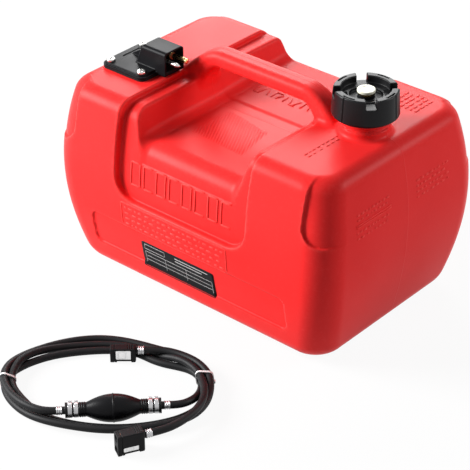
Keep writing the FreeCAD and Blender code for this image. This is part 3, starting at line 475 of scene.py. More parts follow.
def mouldedMaterial(name, spec):
    # plastic or rubber with grain, a slow mottle and rubbed edges
    spec = {**usualFinish, **spec}
    material, tree, shader = newMaterial(name)
    grain = useGroup(tree, grainGroup, Scale=spec["grain"], Mottle_Scale=spec["mottle"])
    edges = useGroup(tree, edgeGroup)
    deep = tuple(c * spec["depth"] for c in spec["colour"])
    toned = mixColour(tree, mottled(tree, grain, 0.0, 1.0), spec["colour"], deep)
    worn = mixColour(tree, math2(tree, "MULTIPLY", edges.outputs["Mask"], spec["wear"]), toned, spec["worn"])
    rough = mottled(tree, grain, spec["rough"] - spec["smoother"], spec["rough"] + spec["rougher"])
    normal = addBump(tree, grain.outputs["Height"], spec["bump"], spec["bumpDistance"])
    joinShader(tree, shader, worn, rough, normal, spec["specular"])
    return material


def metalMaterial(name, spec):
    # turned, stamped or rolled metal with a fine brushed grain and a little tarnish
    spec = {**usualMetal, **spec}
    material, tree, shader = newMaterial(name)
    place = objectPlace(tree)
    drawn = addNode(tree, "ShaderNodeMapping", {"Vector": place, "Scale": spec["stretch"]}).outputs["Vector"]
    lines = noiseOf(tree, drawn, spec["grain"], 3.0)
    spots = noiseOf(tree, place, spec["tarnishScale"], 3.0)
    tarnish = rampBetween(tree, spots, spec["tarnishFrom"], spec["tarnishTo"], 0.0, spec["tarnishMost"])
    shade = mixColour(tree, tarnish, spec["colour"], spec["tarnish"])
    low, high = spec["rough"] - spec["smoother"], spec["rough"] + spec["rougher"]
    rough = rampBetween(tree, lines, 0.3, 0.7, low, high)
    normal = addBump(tree, lines, spec["bump"], spec["bumpDistance"])
    joinShader(tree, shader, shade, rough, normal, spec["specular"])
    shader.inputs["Metallic"].default_value = 1.0
    return material


finishes = {
    "black_plastic": {"colour": (0.008, 0.008, 0.009), "worn": (0.045, 0.045, 0.05), "rough": 0.36,
                      "grain": 1400.0, "specular": 0.05},
    "cap_plastic": {"colour": (0.008, 0.008, 0.009), "worn": (0.05, 0.05, 0.052), "rough": 0.36,
                    "grain": 1100.0, "wear": 0.55, "specular": 0.15},
    "gasket_rubber": {"colour": (0.009, 0.009, 0.009), "worn": (0.03, 0.03, 0.03), "rough": 0.7,
                      "grain": 700.0, "specular": 0.1},
    "seal_rubber": {"colour": (0.42, 0.1, 0.03), "worn": (0.5, 0.2, 0.1), "rough": 0.45, "grain": 900.0},
    "clear_hose": {"colour": (0.6, 0.6, 0.52), "worn": (0.7, 0.7, 0.65), "rough": 0.35, "grain": 500.0},
    "strainer_plastic": {"colour": (0.78, 0.78, 0.72), "worn": (0.85, 0.85, 0.8), "rough": 0.5,
                         "grain": 900.0},
    "liner_plastic": {"colour": (0.7, 0.7, 0.66), "worn": (0.8, 0.8, 0.75), "rough": 0.4, "grain": 700.0},
    "knob_plastic": {"colour": (0.8, 0.78, 0.64), "worn": (0.88, 0.86, 0.76), "rough": 0.28,
                     "grain": 600.0, "depth": 0.95},
    "hose_rubber": {"colour": (0.008, 0.008, 0.009), "worn": (0.02, 0.02, 0.022), "rough": 0.52,
                    "grain": 800.0, "wear": 0.0, "bump": 0.2, "specular": 0.17},
    "bulb_rubber": {"colour": (0.004, 0.004, 0.005), "worn": (0.03, 0.03, 0.032), "rough": 0.36,
                    "grain": 900.0, "specular": 0.12},
    "valve_plastic": {"colour": (0.01, 0.01, 0.011), "worn": (0.05, 0.05, 0.05), "rough": 0.4,
                      "grain": 1200.0, "specular": 0.15},
    "tie_plastic": {"colour": (0.76, 0.76, 0.76), "worn": (0.85, 0.85, 0.85), "rough": 0.4,
                    "grain": 900.0},
    "connector_plastic": {"colour": (0.008, 0.008, 0.009), "worn": (0.06, 0.06, 0.06), "rough": 0.48,
                          "grain": 1400.0, "wear": 0.5, "specular": 0.12},
}
metals = {
    "steel": {"colour": (0.6, 0.6, 0.58), "tarnish": (0.36, 0.35, 0.33), "rough": 0.24, "grain": 900.0},
    "brass": {"colour": (0.83, 0.6, 0.28), "tarnish": (0.6, 0.36, 0.14), "rough": 0.22, "grain": 900.0},
    "band_steel": {"colour": (0.5, 0.5, 0.51), "tarnish": (0.27, 0.27, 0.28), "rough": 0.3,
                   "grain": 700.0},
    "latch_steel": {"colour": (0.8, 0.8, 0.8), "tarnish": (0.62, 0.62, 0.62), "rough": 0.34,
                    "grain": 800.0},
}
materials = {name: mouldedMaterial(name, spec) for name, spec in finishes.items()}
materials.update({name: metalMaterial(name, spec) for name, spec in metals.items()})


def coat(piece, material):
    piece.data.materials.clear()
    piece.data.materials.append(material)


def dress(piece, slotName, body, replaced, material=None):
    # give a piece its finish and its body, and hide the solids that it stands for
    coat(piece, material or materials[slotName])
    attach(piece, body)
    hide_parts(*replaced)
    return piece


print("finishes made:", len(materials))


# tank
tank = {
    "length": 360.0, "depth": 250.0, "top": 206.0,
    "insetHeights": (0.0, 60.0, 115.0, 165.0, 206.0), "insets": (19.0, 4.5, 0.0, 4.0, 13.0),
    "edgeHeights": (196.0, 16.0), "cornerRadius": 31.0, "baseEdge": 26.0, "topEdge": 18.0,
    "channelLeft": -90.0, "channelRight": 80.0, "leftShelf": 15.0, "rightShelf": 9.0,
    "shelfDrop": 6.0, "rightDrop": 3.4, "dropAlong": (-40.0, 60.0),
    "floor": 170.0, "wallSlope": 10.0, "footRadius": 9.0, "roll": 21.0, "channelEdge": 2.4,
    "crease": 16.0, "creaseWidth": 4.0, "creaseStep": 0.9, "rearRise": 0.045,
    "plateInset": 4.0, "plateRecess": 8.0, "plateBottom": 105.0, "plateCorner": 25.0,
    "fingerIn": 1.0, "fingerDepth": 3.5, "fingerBottom": 144.0, "fingerStart": 147.0, "fingerCorner": 20.0,
    "panelHalf": 127.0, "panelBottom": 34.0, "panelTop": 73.0, "panelDepth": 2.0, "panelCorner": 8.0,
    "baseHalf": (118.0, 63.0), "baseCorner": 20.0, "baseDepth": 2.0,
    "handleTop": 234.0, "handleThick": 17.4, "handleHalfWidth": 12.5, "handleLeft": -50.0,
    "handleRight": 55.0, "handleEdge": 7.3, "handleReach": 106.0, "flare": 0.00135,
    "sweep": 62.0, "sweepOver": 59.5, "sweepOpens": 0.3, "sweepUnder": 21.0,
    "neckX": 125.0, "neckRadius": 23.5, "neckTop": 235.0, "neckFoot": 24.6, "neckFootTop": 215.0,
    "neckBottom": 190.0, "boreRadius": 18.5, "boreBottom": 170.0, "joint": 5.0,
    "step": 2.2,
}
insetCurve = np.polyfit(tank["insetHeights"], tank["insets"], 4)
topSlope, baseSlope = np.polyval(np.polyder(insetCurve), tank["edgeHeights"])


def bulgedBody(x, y, z):
    # the barrel-sided body before anything is cut from it
    inset = np.polyval(insetCurve, np.clip(z, 0, tank["top"]))
    wall = roundBox(x, y, tank["length"] / 2 - inset, tank["depth"] / 2 - inset, tank["cornerRadius"])
    lean = math.hypot(1, topSlope)
    form = rollEdge(wall / lean, z - tank["top"], tank["topEdge"], topSlope / lean)
    return rollEdge(form, -z, tank["baseEdge"], -baseSlope / math.hypot(1, baseSlope))


def channelCut(x, y, z):
    # deep channel: sloping walls, rounded feet and a floor that rolls over into the front plate
    roll, base = tank["roll"], tank["floor"]
    rollY = -tank["depth"] / 2 + tank["plateInset"] + tank["plateRecess"] + roll
    floor = base + tank["rearRise"] * np.maximum(y - tank["crease"], 0)
    ramp = np.clip((y - tank["crease"] + tank["creaseWidth"] / 2) / tank["creaseWidth"], 0, 1)
    floor = floor + tank["creaseStep"] * ramp * ramp * (3 - 2 * ramp)
    rho = np.hypot(y - rollY, z - base + roll)
    level = np.where(y > rollY, z - floor, np.where(z > base - roll, rho - roll, rollY - y - roll))
    shelf = tank["top"] - tank["shelfDrop"] - base
    left = tank["channelLeft"] + tank["leftShelf"]
    right = tank["channelRight"] - tank["rightShelf"]
    run = tank["wallSlope"] / shelf
    away = run * (shelf - level)
    walls = np.maximum(left + away - x, x - right + away) / math.hypot(1, run)
    return np.maximum(roundMax(walls, -level, tank["footRadius"]), base - roll - z)


def handleForm(x, y, z):
    # grip over the channel: flat top, ends that sweep down, thicken and widen into the towers
    left, right = tank["handleLeft"], tank["handleRight"]
    past = np.clip(np.maximum(left - x, x - right), 0, tank["sweep"])
    first, under = tank["sweepOver"], tank["sweepUnder"]
    fall = first + tank["sweepOpens"] * past
    roof = (z - tank["handleTop"] + past ** 2 / fall) / np.hypot(1, past * (fall + first) / fall ** 2)
    sole = (tank["handleTop"] - tank["handleThick"] - past ** 2 / under - z) / np.hypot(1, 2 * past / under)
    down = np.maximum(past + tank["handleTop"] - tank["handleThick"] / 2 - z, 0) * (past > 0)
    wide = np.abs(y) - tank["handleHalfWidth"] - tank["flare"] * down ** 2
    form = roundMax(roundMax(wide, roof, tank["handleEdge"]), sole, tank["handleEdge"])
    return np.maximum(form, np.abs(x - (left + right) / 2) - tank["handleReach"])


def sink(body, outline, lower, foot, edge):
    # body cut down to a lower surface inside an outline, with a rounded foot and edge
    return roundMax(body, roundMin(-outline, lower, foot), edge)


def tankForm(x, y, z):
    body = bulgedBody(x, y, z)
    # front plate and shelves, one step lower and deeper than the towers
    middle = (tank["channelLeft"] + tank["channelRight"]) / 2
    half = (tank["channelRight"] - tank["channelLeft"]) / 2
    r = tank["plateCorner"]
    outline = roundCorner(np.abs(x - middle) - half + r, tank["plateBottom"] - z + r, r)
    drop = np.interp(x, tank["dropAlong"], (tank["shelfDrop"], tank["rightDrop"]))
    body = sink(body, outline, bulgedBody(x, y - tank["plateRecess"], z + drop), 1.8, 2.2)
    # finger recesses at the upper corners
    r, aside = tank["fingerCorner"], tank["fingerIn"]
    outline = roundCorner(tank["fingerStart"] - np.abs(x) + r, tank["fingerBottom"] - z + r, r)
    lower = bulgedBody(np.abs(x) - aside, np.abs(y) + tank["fingerDepth"], z - aside)
    body = sink(body, outline, lower, 1.0, 1.1)
    # label panel, on the front only
    low, high = tank["panelBottom"], tank["panelTop"]
    outline = roundBox(x, z - (high + low) / 2, tank["panelHalf"], (high - low) / 2, tank["panelCorner"])
    panel = roundMin(-outline, bulgedBody(x, y - tank["panelDepth"], z), 1.4)
    body = roundMax(body, np.where(y < 0, panel, -50.0), 1.6)
    body = roundMax(body, -channelCut(x, y, z), tank["channelEdge"])
    # shallow recess under the base
    recess = np.maximum(roundBox(x, y, *tank["baseHalf"], tank["baseCorner"]), z - tank["baseDepth"])
    body = roundMax(body, -recess, 0.8)
    body = roundMin(body, handleForm(x, y, z), tank["joint"])
    # filler neck with its foot
    reach = np.hypot(x - tank["neckX"], y)
    neck = np.maximum(reach - tank["neckRadius"], z - tank["neckTop"])
    neck = roundMin(neck, roundMax(reach - tank["neckFoot"], z - tank["neckFootTop"], 0.8), 0.4)
    body = roundMin(body, np.maximum(neck, tank["neckBottom"] - z), tank["joint"])
    bore = np.maximum(reach - tank["boreRadius"], tank["boreBottom"] - z)
    return roundMax(body, -bore, 0.8)


tankBody = formPiece("tank_body", tankForm, (-184, -129, -4), (184, 129, 238), tank["step"])
print("tank body formed:", len(tankBody.data.polygons), "faces")


# outlet on the left tower
outlet = {
    "x": -130.5, "y": -38.0, "length": 58.0, "width": 62.0, "corner": 8.0, "bottom": 208.0, "top": 212.5,
    "ledge": 2.2, "ledgeHeight": 2.0, "plugRadius": 13.5, "plugBottom": 194.0,
    "hoodY": -33.4, "hoodWidth": 28.0, "roof": 234.0, "mouth": -90.0, "seat": -110.0, "back": -122.5,
    "slopeRun": 8.0, "wall": 2.2, "hoodEdge": 4.2, "prongHeight": 222.0, "prongSeat": 5.0,
    "nippleY": -26.9, "guideY": -39.9, "screwX": 21.0, "screwY": 23.5,
    "fieldX": -141.5, "fieldHalf": (8.5, 13.0), "fieldCorner": 2.0, "fieldDepth": 0.7,
    "webHalf": 0.9, "webRun": 6.0, "webSlope": 0.62, "gasketTop": 208.0, "gasketBottom": 206.0,
    "gasketSwell": 0.35, "gasketBore": 15.0,
}


def outletForm(x, y, z):
    o = outlet
    across = np.abs(y - o["hoodY"])
    plate = roundBox(x - o["x"], y - o["y"], o["length"] / 2, o["width"] / 2, o["corner"])
    form = roundMax(plate, slab(z, o["bottom"], o["top"] - o["ledgeHeight"]), 0.5)
    form = roundMin(form, roundMax(plate + o["ledge"], slab(z, o["bottom"] + 0.5, o["top"]), 0.7), 0.4)
    # hood with its sloping back
    rise = o["roof"] - o["top"]
    foot = o["back"] - o["slopeRun"]
    back = ((z - o["top"]) * o["slopeRun"] - (x - foot) * rise) / math.hypot(rise, o["slopeRun"])
    hood = roundMax(across - o["hoodWidth"] / 2, z - o["roof"], o["hoodEdge"])
    hood = roundMax(roundMax(hood, back, 2.2), x - o["mouth"], 0.7)
    form = roundMin(form, np.maximum(hood, o["bottom"] + 0.3 - z), 1.4)
    plug = np.maximum(np.hypot(x - o["x"], y - o["y"]) - o["plugRadius"],
                      slab(z, o["plugBottom"], o["bottom"] + 1))
    form = roundMin(form, plug, 0.5)
    hollow = roundMax(across - o["hoodWidth"] / 2 + o["wall"], z - o["roof"] + o["wall"], 2.0)
    hollow = roundMax(roundMax(hollow, o["seat"] - x, 0.8), o["top"] - z, 0.8)
    form = roundMax(form, -hollow, 0.5)
    for place in (o["nippleY"], o["guideY"]):
        reach = np.hypot(y - place, z - o["prongHeight"])
        seat = np.maximum(reach - o["prongSeat"], slab(x, o["seat"] - 1, o["seat"] + 1.2))
        form = roundMin(form, seat, 0.5)
    # shallow field on the flange, and a web between it and the hood's slope
    field = roundBox(x - o["fieldX"], y - o["hoodY"], *o["fieldHalf"], o["fieldCorner"])
    form = roundMax(form, -np.maximum(field, o["top"] - o["fieldDepth"] - z), 0.4)
    start = o["fieldX"] - o["webRun"]
    ramp = (z - o["top"] - (x - start) * o["webSlope"]) / math.hypot(1, o["webSlope"])
    web = np.maximum(np.maximum(across - o["webHalf"], ramp), slab(x, start, o["back"]))
    return roundMin(form, np.maximum(web, o["top"] - 1.0 - z), 0.4)


cover = formPiece("outlet_cover", outletForm, (-161, -71, 193), (-88.5, -5.5, 235.5), 0.7)
dress(cover, "black_plastic", "tank", ["outlet_housing"])


def gasketForm(x, y, z):
    # sheet that swells a little between tank and flange
    o = outlet
    low, high = o["gasketBottom"], o["gasketTop"]
    plate = roundBox(x - o["x"], y - o["y"], o["length"] / 2, o["width"] / 2, o["corner"])
    swell = o["gasketSwell"] * (1 - (z - (low + high) / 2) ** 2)
    hole = np.hypot(x - o["x"], y - o["y"]) - o["gasketBore"]
    return roundMax(roundMax(plate - swell + 0.3, slab(z, low, high), 0.5), -hole, 0.3)


gasket = formPiece("outlet_gasket", gasketForm, (-161, -70.5, 205), (-100, -5.5, 209), 0.7)
dress(gasket, "gasket_rubber", "tank", ["connector_gasket"])


def copies(name, points, faces, places):
    # one mesh with a copy of the shape at each place
    allPoints = np.concatenate([points + np.array(place) for place in places])
    allFaces = np.concatenate([faces + n * len(points) for n in range(len(places))])
    return meshFrom(name, allPoints, allFaces)


screw = {
    "head": 4.6, "height": 3.0, "dome": 0.018, "shank": 2.0, "length": 14.0, "turn": 30.0,
    "recessFloor": 1.5, "recessArm": 1.5, "recessTaper": 0.12, "recessReach": 1.2, "recessHalf": 0.55,
}


def screwForm(x, y, z):
    s = screw
    reach = np.hypot(x, y)
    head = roundMax(reach - s["head"], z - s["height"] + s["dome"] * reach ** 2, 1.2)
    form = roundMin(np.maximum(head, -z), np.maximum(reach - s["shank"], slab(z, -s["length"], 1)), 0.4)
    t = math.radians(s["turn"])
    a, b = x * math.cos(t) + y * math.sin(t), y * math.cos(t) - x * math.sin(t)
    arm = s["recessArm"] + s["recessTaper"] * (z - s["recessFloor"])
    for p, q in ((a, b), (b, a)):
        bar = np.maximum(np.abs(p) - arm - s["recessReach"], np.abs(q) - s["recessHalf"])
        form = roundMax(form, -np.maximum(bar, s["recessFloor"] - z), 0.15)
    return form


screwPlaces = [(outlet["x"] + i * outlet["screwX"], outlet["y"] + j * outlet["screwY"], outlet["top"])
               for i in (-1, 1) for j in (-1, 1)]
screwSkin = skinOf(screwForm, (-5.4, -5.4, -15), (5.4, 5.4, 4), 0.3)
dress(copies("outlet_screws", *screwSkin, screwPlaces), "steel", "tank", ["housing_screws"])
nipple = {
    "start": -115.0, "tip": -78.0, "radius": 2.9, "tipRadius": 1.75,
    "collarStart": -110.0, "collarEnd": -99.0, "collarRadius": 3.6,
    "groove": -98.1, "grooveHalf": 0.9, "grooveRadius": 2.5, "bore": 0.9, "hole": 0.95, "holeX": -82.0,
}


def nippleForm(x, y, z):
    n = nipple
    reach = np.hypot(y - outlet["nippleY"], z - outlet["prongHeight"])
    form = roundMax(reach - n["radius"], slab(x, n["start"], n["tip"]), 0.5)
    # tip chamfered at 45 degrees
    form = roundMax(form, (x - n["tip"] + reach - n["tipRadius"]) * 0.7071, 0.4)
    collar = roundMax(reach - n["collarRadius"], slab(x, n["collarStart"], n["collarEnd"]), 0.3)
    form = roundMin(form, collar, 0.2)
    groove = np.maximum(np.abs(x - n["groove"]) - n["grooveHalf"], n["grooveRadius"] - reach)
    form = roundMax(form, -groove, 0.15)
    side = np.hypot(x - n["holeX"], y - outlet["nippleY"]) - n["hole"]
    hole = np.minimum(side, np.maximum(reach - n["bore"], x - n["holeX"]))
    return roundMax(form, -hole, 0.15)


turned = formPiece("fuel_nipple_turned", nippleForm, (-116, -31.5, 217.5), (-77, -22.5, 226.5), 0.3)
dress(turned, "brass", "tank", ["fuel_nipple"])
ringShape = ((0, 2.5, 0.2), (0, 3.6, 0.5), (1.6, 3.6, 0.5), (1.6, 2.5, 0.2))
pinShape = ((0, 0.01, 0), (0, 2.0, 0.1), (5.5, 2.0, 0.05), (5.5, 2.3, 0.2), (34, 2.3, 0.6), (38, 0.7, 0.3),
            (38, 0.01, 0))
ring = moved(turnedPiece("nipple_ring", ringShape, 48), -98.9, outlet["nippleY"], outlet["prongHeight"])
dress(ring, "seal_rubber", "tank", ["nipple_oring"])
guide = moved(turnedPiece("guide_pin_turned", pinShape, 48), -115.0, outlet["guideY"], outlet["prongHeight"])
dress(guide, "steel", "tank", ["guide_pin"])
print("outlet made")


# filler cap
cap = {
    "x": 125.0, "bottom": 222.0, "top": 252.0, "widest": 33.0, "topRadius": 31.5, "chamfer": 5.0,
    "chamferHeight": 4.0, "shoulder": 244.8, "dish": 241.5, "shoulderRadius": 16.0, "castleInner": 24.0,
    "slotWidth": 10.4, "slotFloor": 243.5, "slotTurn": 47.0, "slotStart": 18.0,
    "slitRadius": 28.6, "slitFloor": 249.5, "slitAngle": 13.0, "slitHalf": 0.85,
    "grooves": (8.5, 85.5, 188.5, 265.5), "grooveRadius": 0.9, "sleeve": 24.1, "sleeveWall": 2.4,
    "under": 238.5, "pocketDrop": 2.0, "hubRadius": 8.0, "hubTop": 245.7, "boreRadius": 3.0, "wall": 2.6,
}


def foldAngle(x, y, turn):
    # place seen from the nearest of four spokes, the first at the given angle
    theta = np.arctan2(y, x) - math.radians(turn)
    theta = (theta + math.pi / 4) % (math.pi / 2) - math.pi / 4
    r = np.hypot(x, y)
    return r * np.cos(theta), r * np.sin(theta), theta


def capForm(x, y, z):
    c = cap
    r = np.hypot(x, y)
    sideFoot = c["bottom"] + c["chamferHeight"]
    shrink = (c["widest"] - c["topRadius"]) / (c["top"] - sideFoot)
    outer = c["widest"] - shrink * np.maximum(z - sideFoot, 0)
    form = roundMax(r - outer, z - c["top"], 1.5)
    under = (r - c["widest"] + c["chamfer"]) * c["chamferHeight"] - (z - c["bottom"]) * c["chamfer"]
    form = roundMax(form, under / math.hypot(c["chamfer"], c["chamferHeight"]), 1.0)
    form = roundMax(form, c["bottom"] - z, 0.4)
    form = roundMax(form, -roundMax(r - c["castleInner"], c["shoulder"] - z, 0.8), 1.1)
    form = roundMax(form, -roundMax(r - c["shoulderRadius"], c["dish"] - z, 0.6), 0.7)
    form = roundMin(form, np.maximum(r - c["hubRadius"], z - c["hubTop"]), 0.8)
    along, across, _ = foldAngle(x, y, c["slotTurn"])
    slot = roundMax(np.abs(across) - c["slotWidth"] / 2, c["slotFloor"] - z, 0.8)
    form = roundMax(form, -np.maximum(slot, c["slotStart"] - along), 1.1)
    _, _, theta = foldAngle(x, y, c["slotTurn"] + 45)
    end = (np.abs(theta) - math.radians(c["slitAngle"])) * r
    slit = roundMax(np.abs(r - c["slitRadius"]) - c["slitHalf"], end, 0.6)
    form = roundMax(form, -np.maximum(slit, c["slitFloor"] - z), 0.35)
    for angle in c["grooves"]:
        t = math.radians(angle)
        groove = np.hypot(x - outer * math.cos(t), y - outer * math.sin(t)) - c["grooveRadius"]
        form = roundMax(form, -groove, 0.35)
    # hollow under the top, and the pocket between sleeve and skirt
    inner, skirt = c["sleeve"] + c["sleeveWall"], c["widest"] - c["wall"]
    pocket = np.abs(r - (inner + skirt) / 2) - (skirt - inner) / 2
    pocket = np.maximum(pocket, z - c["under"] + c["pocketDrop"])
    hollow = np.minimum(np.maximum(r - c["sleeve"], z - c["under"]), pocket)
    form = roundMax(form, -hollow, 0.5)
    return roundMax(form, c["boreRadius"] - r, 0.3)


capPiece = formPiece("cap_moulding", capForm, (-34.2, -34.2, 221), (34.2, 34.2, 253.2), 0.55)
dress(moved(capPiece, cap["x"], 0, 0), "cap_plastic", "cap", ["filler_cap"])


def upright(piece, z=0):
    # stand a turned piece up on the cap's axis
    return moved(piece, cap["x"], 0, z, Matrix.Rotation(-math.pi / 2, 4, "Y"))


def knurled(name, radius, low, high, teeth, depth, crown):
    # low round piece with teeth round its side
    rings = softProfile(((low, 0.01, 0), (low, radius, 0.4), (high, radius, crown), (high, 0.01, 0)), 6)
    points, faces = turnedPoints(rings, teeth * 6)
    reach = np.hypot(points[:, 1], points[:, 2])
    angle = np.arctan2(points[:, 2], points[:, 1])
    rim = 1.2
    side = np.clip((reach - radius + rim) / rim, 0, 1)
    scale = 1 - depth / radius * side * (0.5 - 0.5 * np.cos(angle * teeth)) ** 2
    points[:, 1:] *= scale[:, None]
    return meshFrom(name, points, faces, ribbedAngle)


collar = upright(knurled("vent_ring", 8.5, 245.7, 247.7, 48, 0.35, 0.3))
dress(collar, "brass", "vent", ["vent_collar"])
knobShape = ((234.6, 0.01, 0), (234.6, 2.96, 0.4), (247.7, 2.96, 0.1), (247.7, 8.9, 0.4), (250.3, 8.9, 1.0),
             (250.3, 5.6, 0.3), (249.9, 5.2, 0.3), (249.9, 0.01, 0))
dress(upright(turnedPiece("vent_button", knobShape, 96)), "knob_plastic", "vent", ["vent_knob"])
sealShape = ((0, 18.9, 0.2), (0, 23.1, 0.5), (2.0, 23.1, 0.5), (2.0, 18.9, 0.2))
seal = upright(turnedPiece("cap_ring", sealShape, 96), tank["neckTop"])
dress(seal, "gasket_rubber", "cap_seal", ["cap_gasket"])
print("cap made")


# fuel line fittings
def linePlace(u, v, height, turn):
    # matrix from a fitting's own frame to the tank's
    turning = Matrix.Rotation(math.radians(fuelLine["turn"] + turn), 4, "Z")
    return Matrix.Translation(linePoint(u, v, height)) @ turning


bulbMatrix = linePlace(bulbPlace["u"], bulbPlace["v"], bulbPlace["height"], bulbPlace["turn"])
bulb = {
    "radius": 13.3, "neck": 6.7, "end": 42.3, "bore": 5.0, "wall": 2.6, "hollow": 24.0,
    "swell": 25.0, "fullness": 2.1, "shoulder": 1.15,
    "ridge": 0.5, "ridgeHalf": 0.62, "ribs": (26.6, 28.6, 30.6),
    "bandWidth": 4.1, "bandThickness": 0.5, "bands": (34.4, 40.0), "bandTurn": 52.0,
    "earUp": 1.0, "earHalf": (1.6, 0.9), "earCorner": 0.6, "earWall": 0.45,
    "neckEnd": 47.0, "barbEnd": 52.6,
}
clip = {
    "inside": 2.6, "radius": 4.2, "lip": 0.6, "lipDrop": 0.25, "grooves": (0.33, 0.67),
    "grooveHalf": 0.9, "grooveFoot": 0.3, "grooveDepth": 0.5,
}


def bulbRadius(along):
    # outside radius at a distance from the middle: the swell with its ridge and end ribs
    share = np.clip(1 - np.abs(along / bulb["swell"]) ** bulb["fullness"], 0, 1)
    radius = bulb["neck"] + (bulb["radius"] - bulb["neck"]) * share ** bulb["shoulder"]
    for place in (0.0,) + bulb["ribs"] + tuple(-p for p in bulb["ribs"]):
        radius = radius + bulb["ridge"] * np.exp(-((along - place) / bulb["ridgeHalf"]) ** 4)
    return radius


def addBulb():
    end, bore, soft = bulb["end"], bulb["bore"], 0.5
    along = np.arange(-end + soft, end - soft + 0.01, 0.4)
    profile = [(-end, bore), (-end, bulb["neck"] - soft)]
    profile += list(zip(along, bulbRadius(along)))
    profile += [(end, bulb["neck"] - soft), (end, bore)]
    for a in np.linspace(end - 1, -end + 1, 60):
        inside = max(float(bulbRadius(a)) - bulb["wall"], bore)
        profile.append((a, inside if abs(a) < bulb["hollow"] else bore))
    piece = meshFrom("bulb_moulding", *turnedPoints(profile, 80), ribbedAngle)
    piece.matrix_world = bulbMatrix
    dress(piece, "bulb_rubber", "fuel_line", ["primer_bulb"])


addBulb()


def bandForm(x, y, z):
    # steel strap about the local X axis, with its pinched ear
    reach = np.hypot(y, z)
    inner, half, wall = bulb["neck"], bulb["bandThickness"] / 2, bulb["earWall"]
    side = np.abs(x) - bulb["bandWidth"] / 2
    strap = roundMax(np.abs(reach - inner - half) - half, side, 0.25)
    ear = roundBox(y, z - inner - bulb["earUp"], *bulb["earHalf"], bulb["earCorner"])
    return roundMin(strap, np.maximum(np.abs(ear + wall) - wall, side + 0.1), 0.4)


bandPoints, bandFaces = skinOf(bandForm, (-3, -10, -10), (3, 10, 12), 0.32)
bandPoints = bandPoints @ np.array(Matrix.Rotation(math.radians(bulb["bandTurn"]), 3, "X"))
bandPlaces = [(side * place, 0, 0) for side in (-1, 1) for place in bulb["bands"]]
bands = copies("bulb_straps", bandPoints, bandFaces, bandPlaces)
bands.matrix_world = bulbMatrix
dress(bands, "band_steel", "fuel_line", ["bulb_bands"])


def addClip(name, start, end, matrix):
    # crimped ferrule: two rolled grooves and turned-over lips
    length = end - start
    r, inside, lip = clip["radius"], clip["inside"], clip["radius"] - clip["lipDrop"]
    half, foot, floor = clip["grooveHalf"], clip["grooveFoot"], clip["radius"] - clip["grooveDepth"]
    shape = [(0, inside, 0.1), (0, lip, 0.3), (clip["lip"], r, 0.2)]
    for a in (length * share for share in clip["grooves"]):
        shape += [(a - half, r, 0.3), (a - foot, floor, 0.2), (a + foot, floor, 0.2), (a + half, r, 0.3)]
    shape += [(length - clip["lip"], r, 0.2), (length, lip, 0.3), (length, inside, 0.1)]
    piece = moved(turnedPiece(name, shape, 48, 3), start, 0, 0)
    piece.matrix_world = matrix
    dress(piece, "band_steel", "fuel_line", ["hose_clips"])


addClip("clip_bulb_right", bulb["neckEnd"], bulb["barbEnd"], bulbMatrix)
addClip("clip_bulb_left", -bulb["barbEnd"], -bulb["neckEnd"], bulbMatrix)
# collar and neck between the bulb and its hose
valveShape = (
    (27.5, 1.6, 0.1), (27.5, 5.0, 0.3), (42.3, 5.0, 0.1), (42.3, 7.4, 0.3), (43.0, 7.4, 0.15),
    (43.2, 7.1, 0.1), (43.6, 7.1, 0.1), (43.8, 7.4, 0.15), (44.5, 7.4, 0.35), (44.5, 3.7, 0.4),
    (47.0, 3.7, 0.2), (47.0, 2.6, 0.05), (52.0, 2.6, 0.1), (52.6, 2.3, 0.1), (52.6, 1.6, 0.1),
)
for side, hand in ((1, "right"), (-1, "left")):
    points, faces = turnedPoints(softProfile(valveShape, 3), 64)
    points[:, 0] *= side
    piece = meshFrom("valve_end_" + hand, points, faces[:, ::side], crispAngle)
    piece.matrix_world = bulbMatrix
    dress(piece, "valve_plastic", "fuel_line", ["valve_body_" + hand])

latch = {
    "start": 5.5, "length": 15.0, "thickness": 1.0, "recess": 0.6, "pocket": 2.4, "clearance": 0.3,
    "barrel": 1.1, "pin": 0.6, "pinPlay": 0.04, "dimple": 6.0, "dimpleHalf": 3.6,
}
fitting = {
    "corner": 1.1, "neck": 3.6, "barbRadius": 2.6, "barbStart": 2.0, "barbEnd": 8.0,
    "ledge": 4.2, "ledgeHalf": 0.35, "ledgeDepth": 0.45,
    "ribs": (7.6, 5.6, 3.6), "ribHalf": 0.45, "ribDepth": 0.5, "ribFree": 1.5, "archTop": 1.6,
}


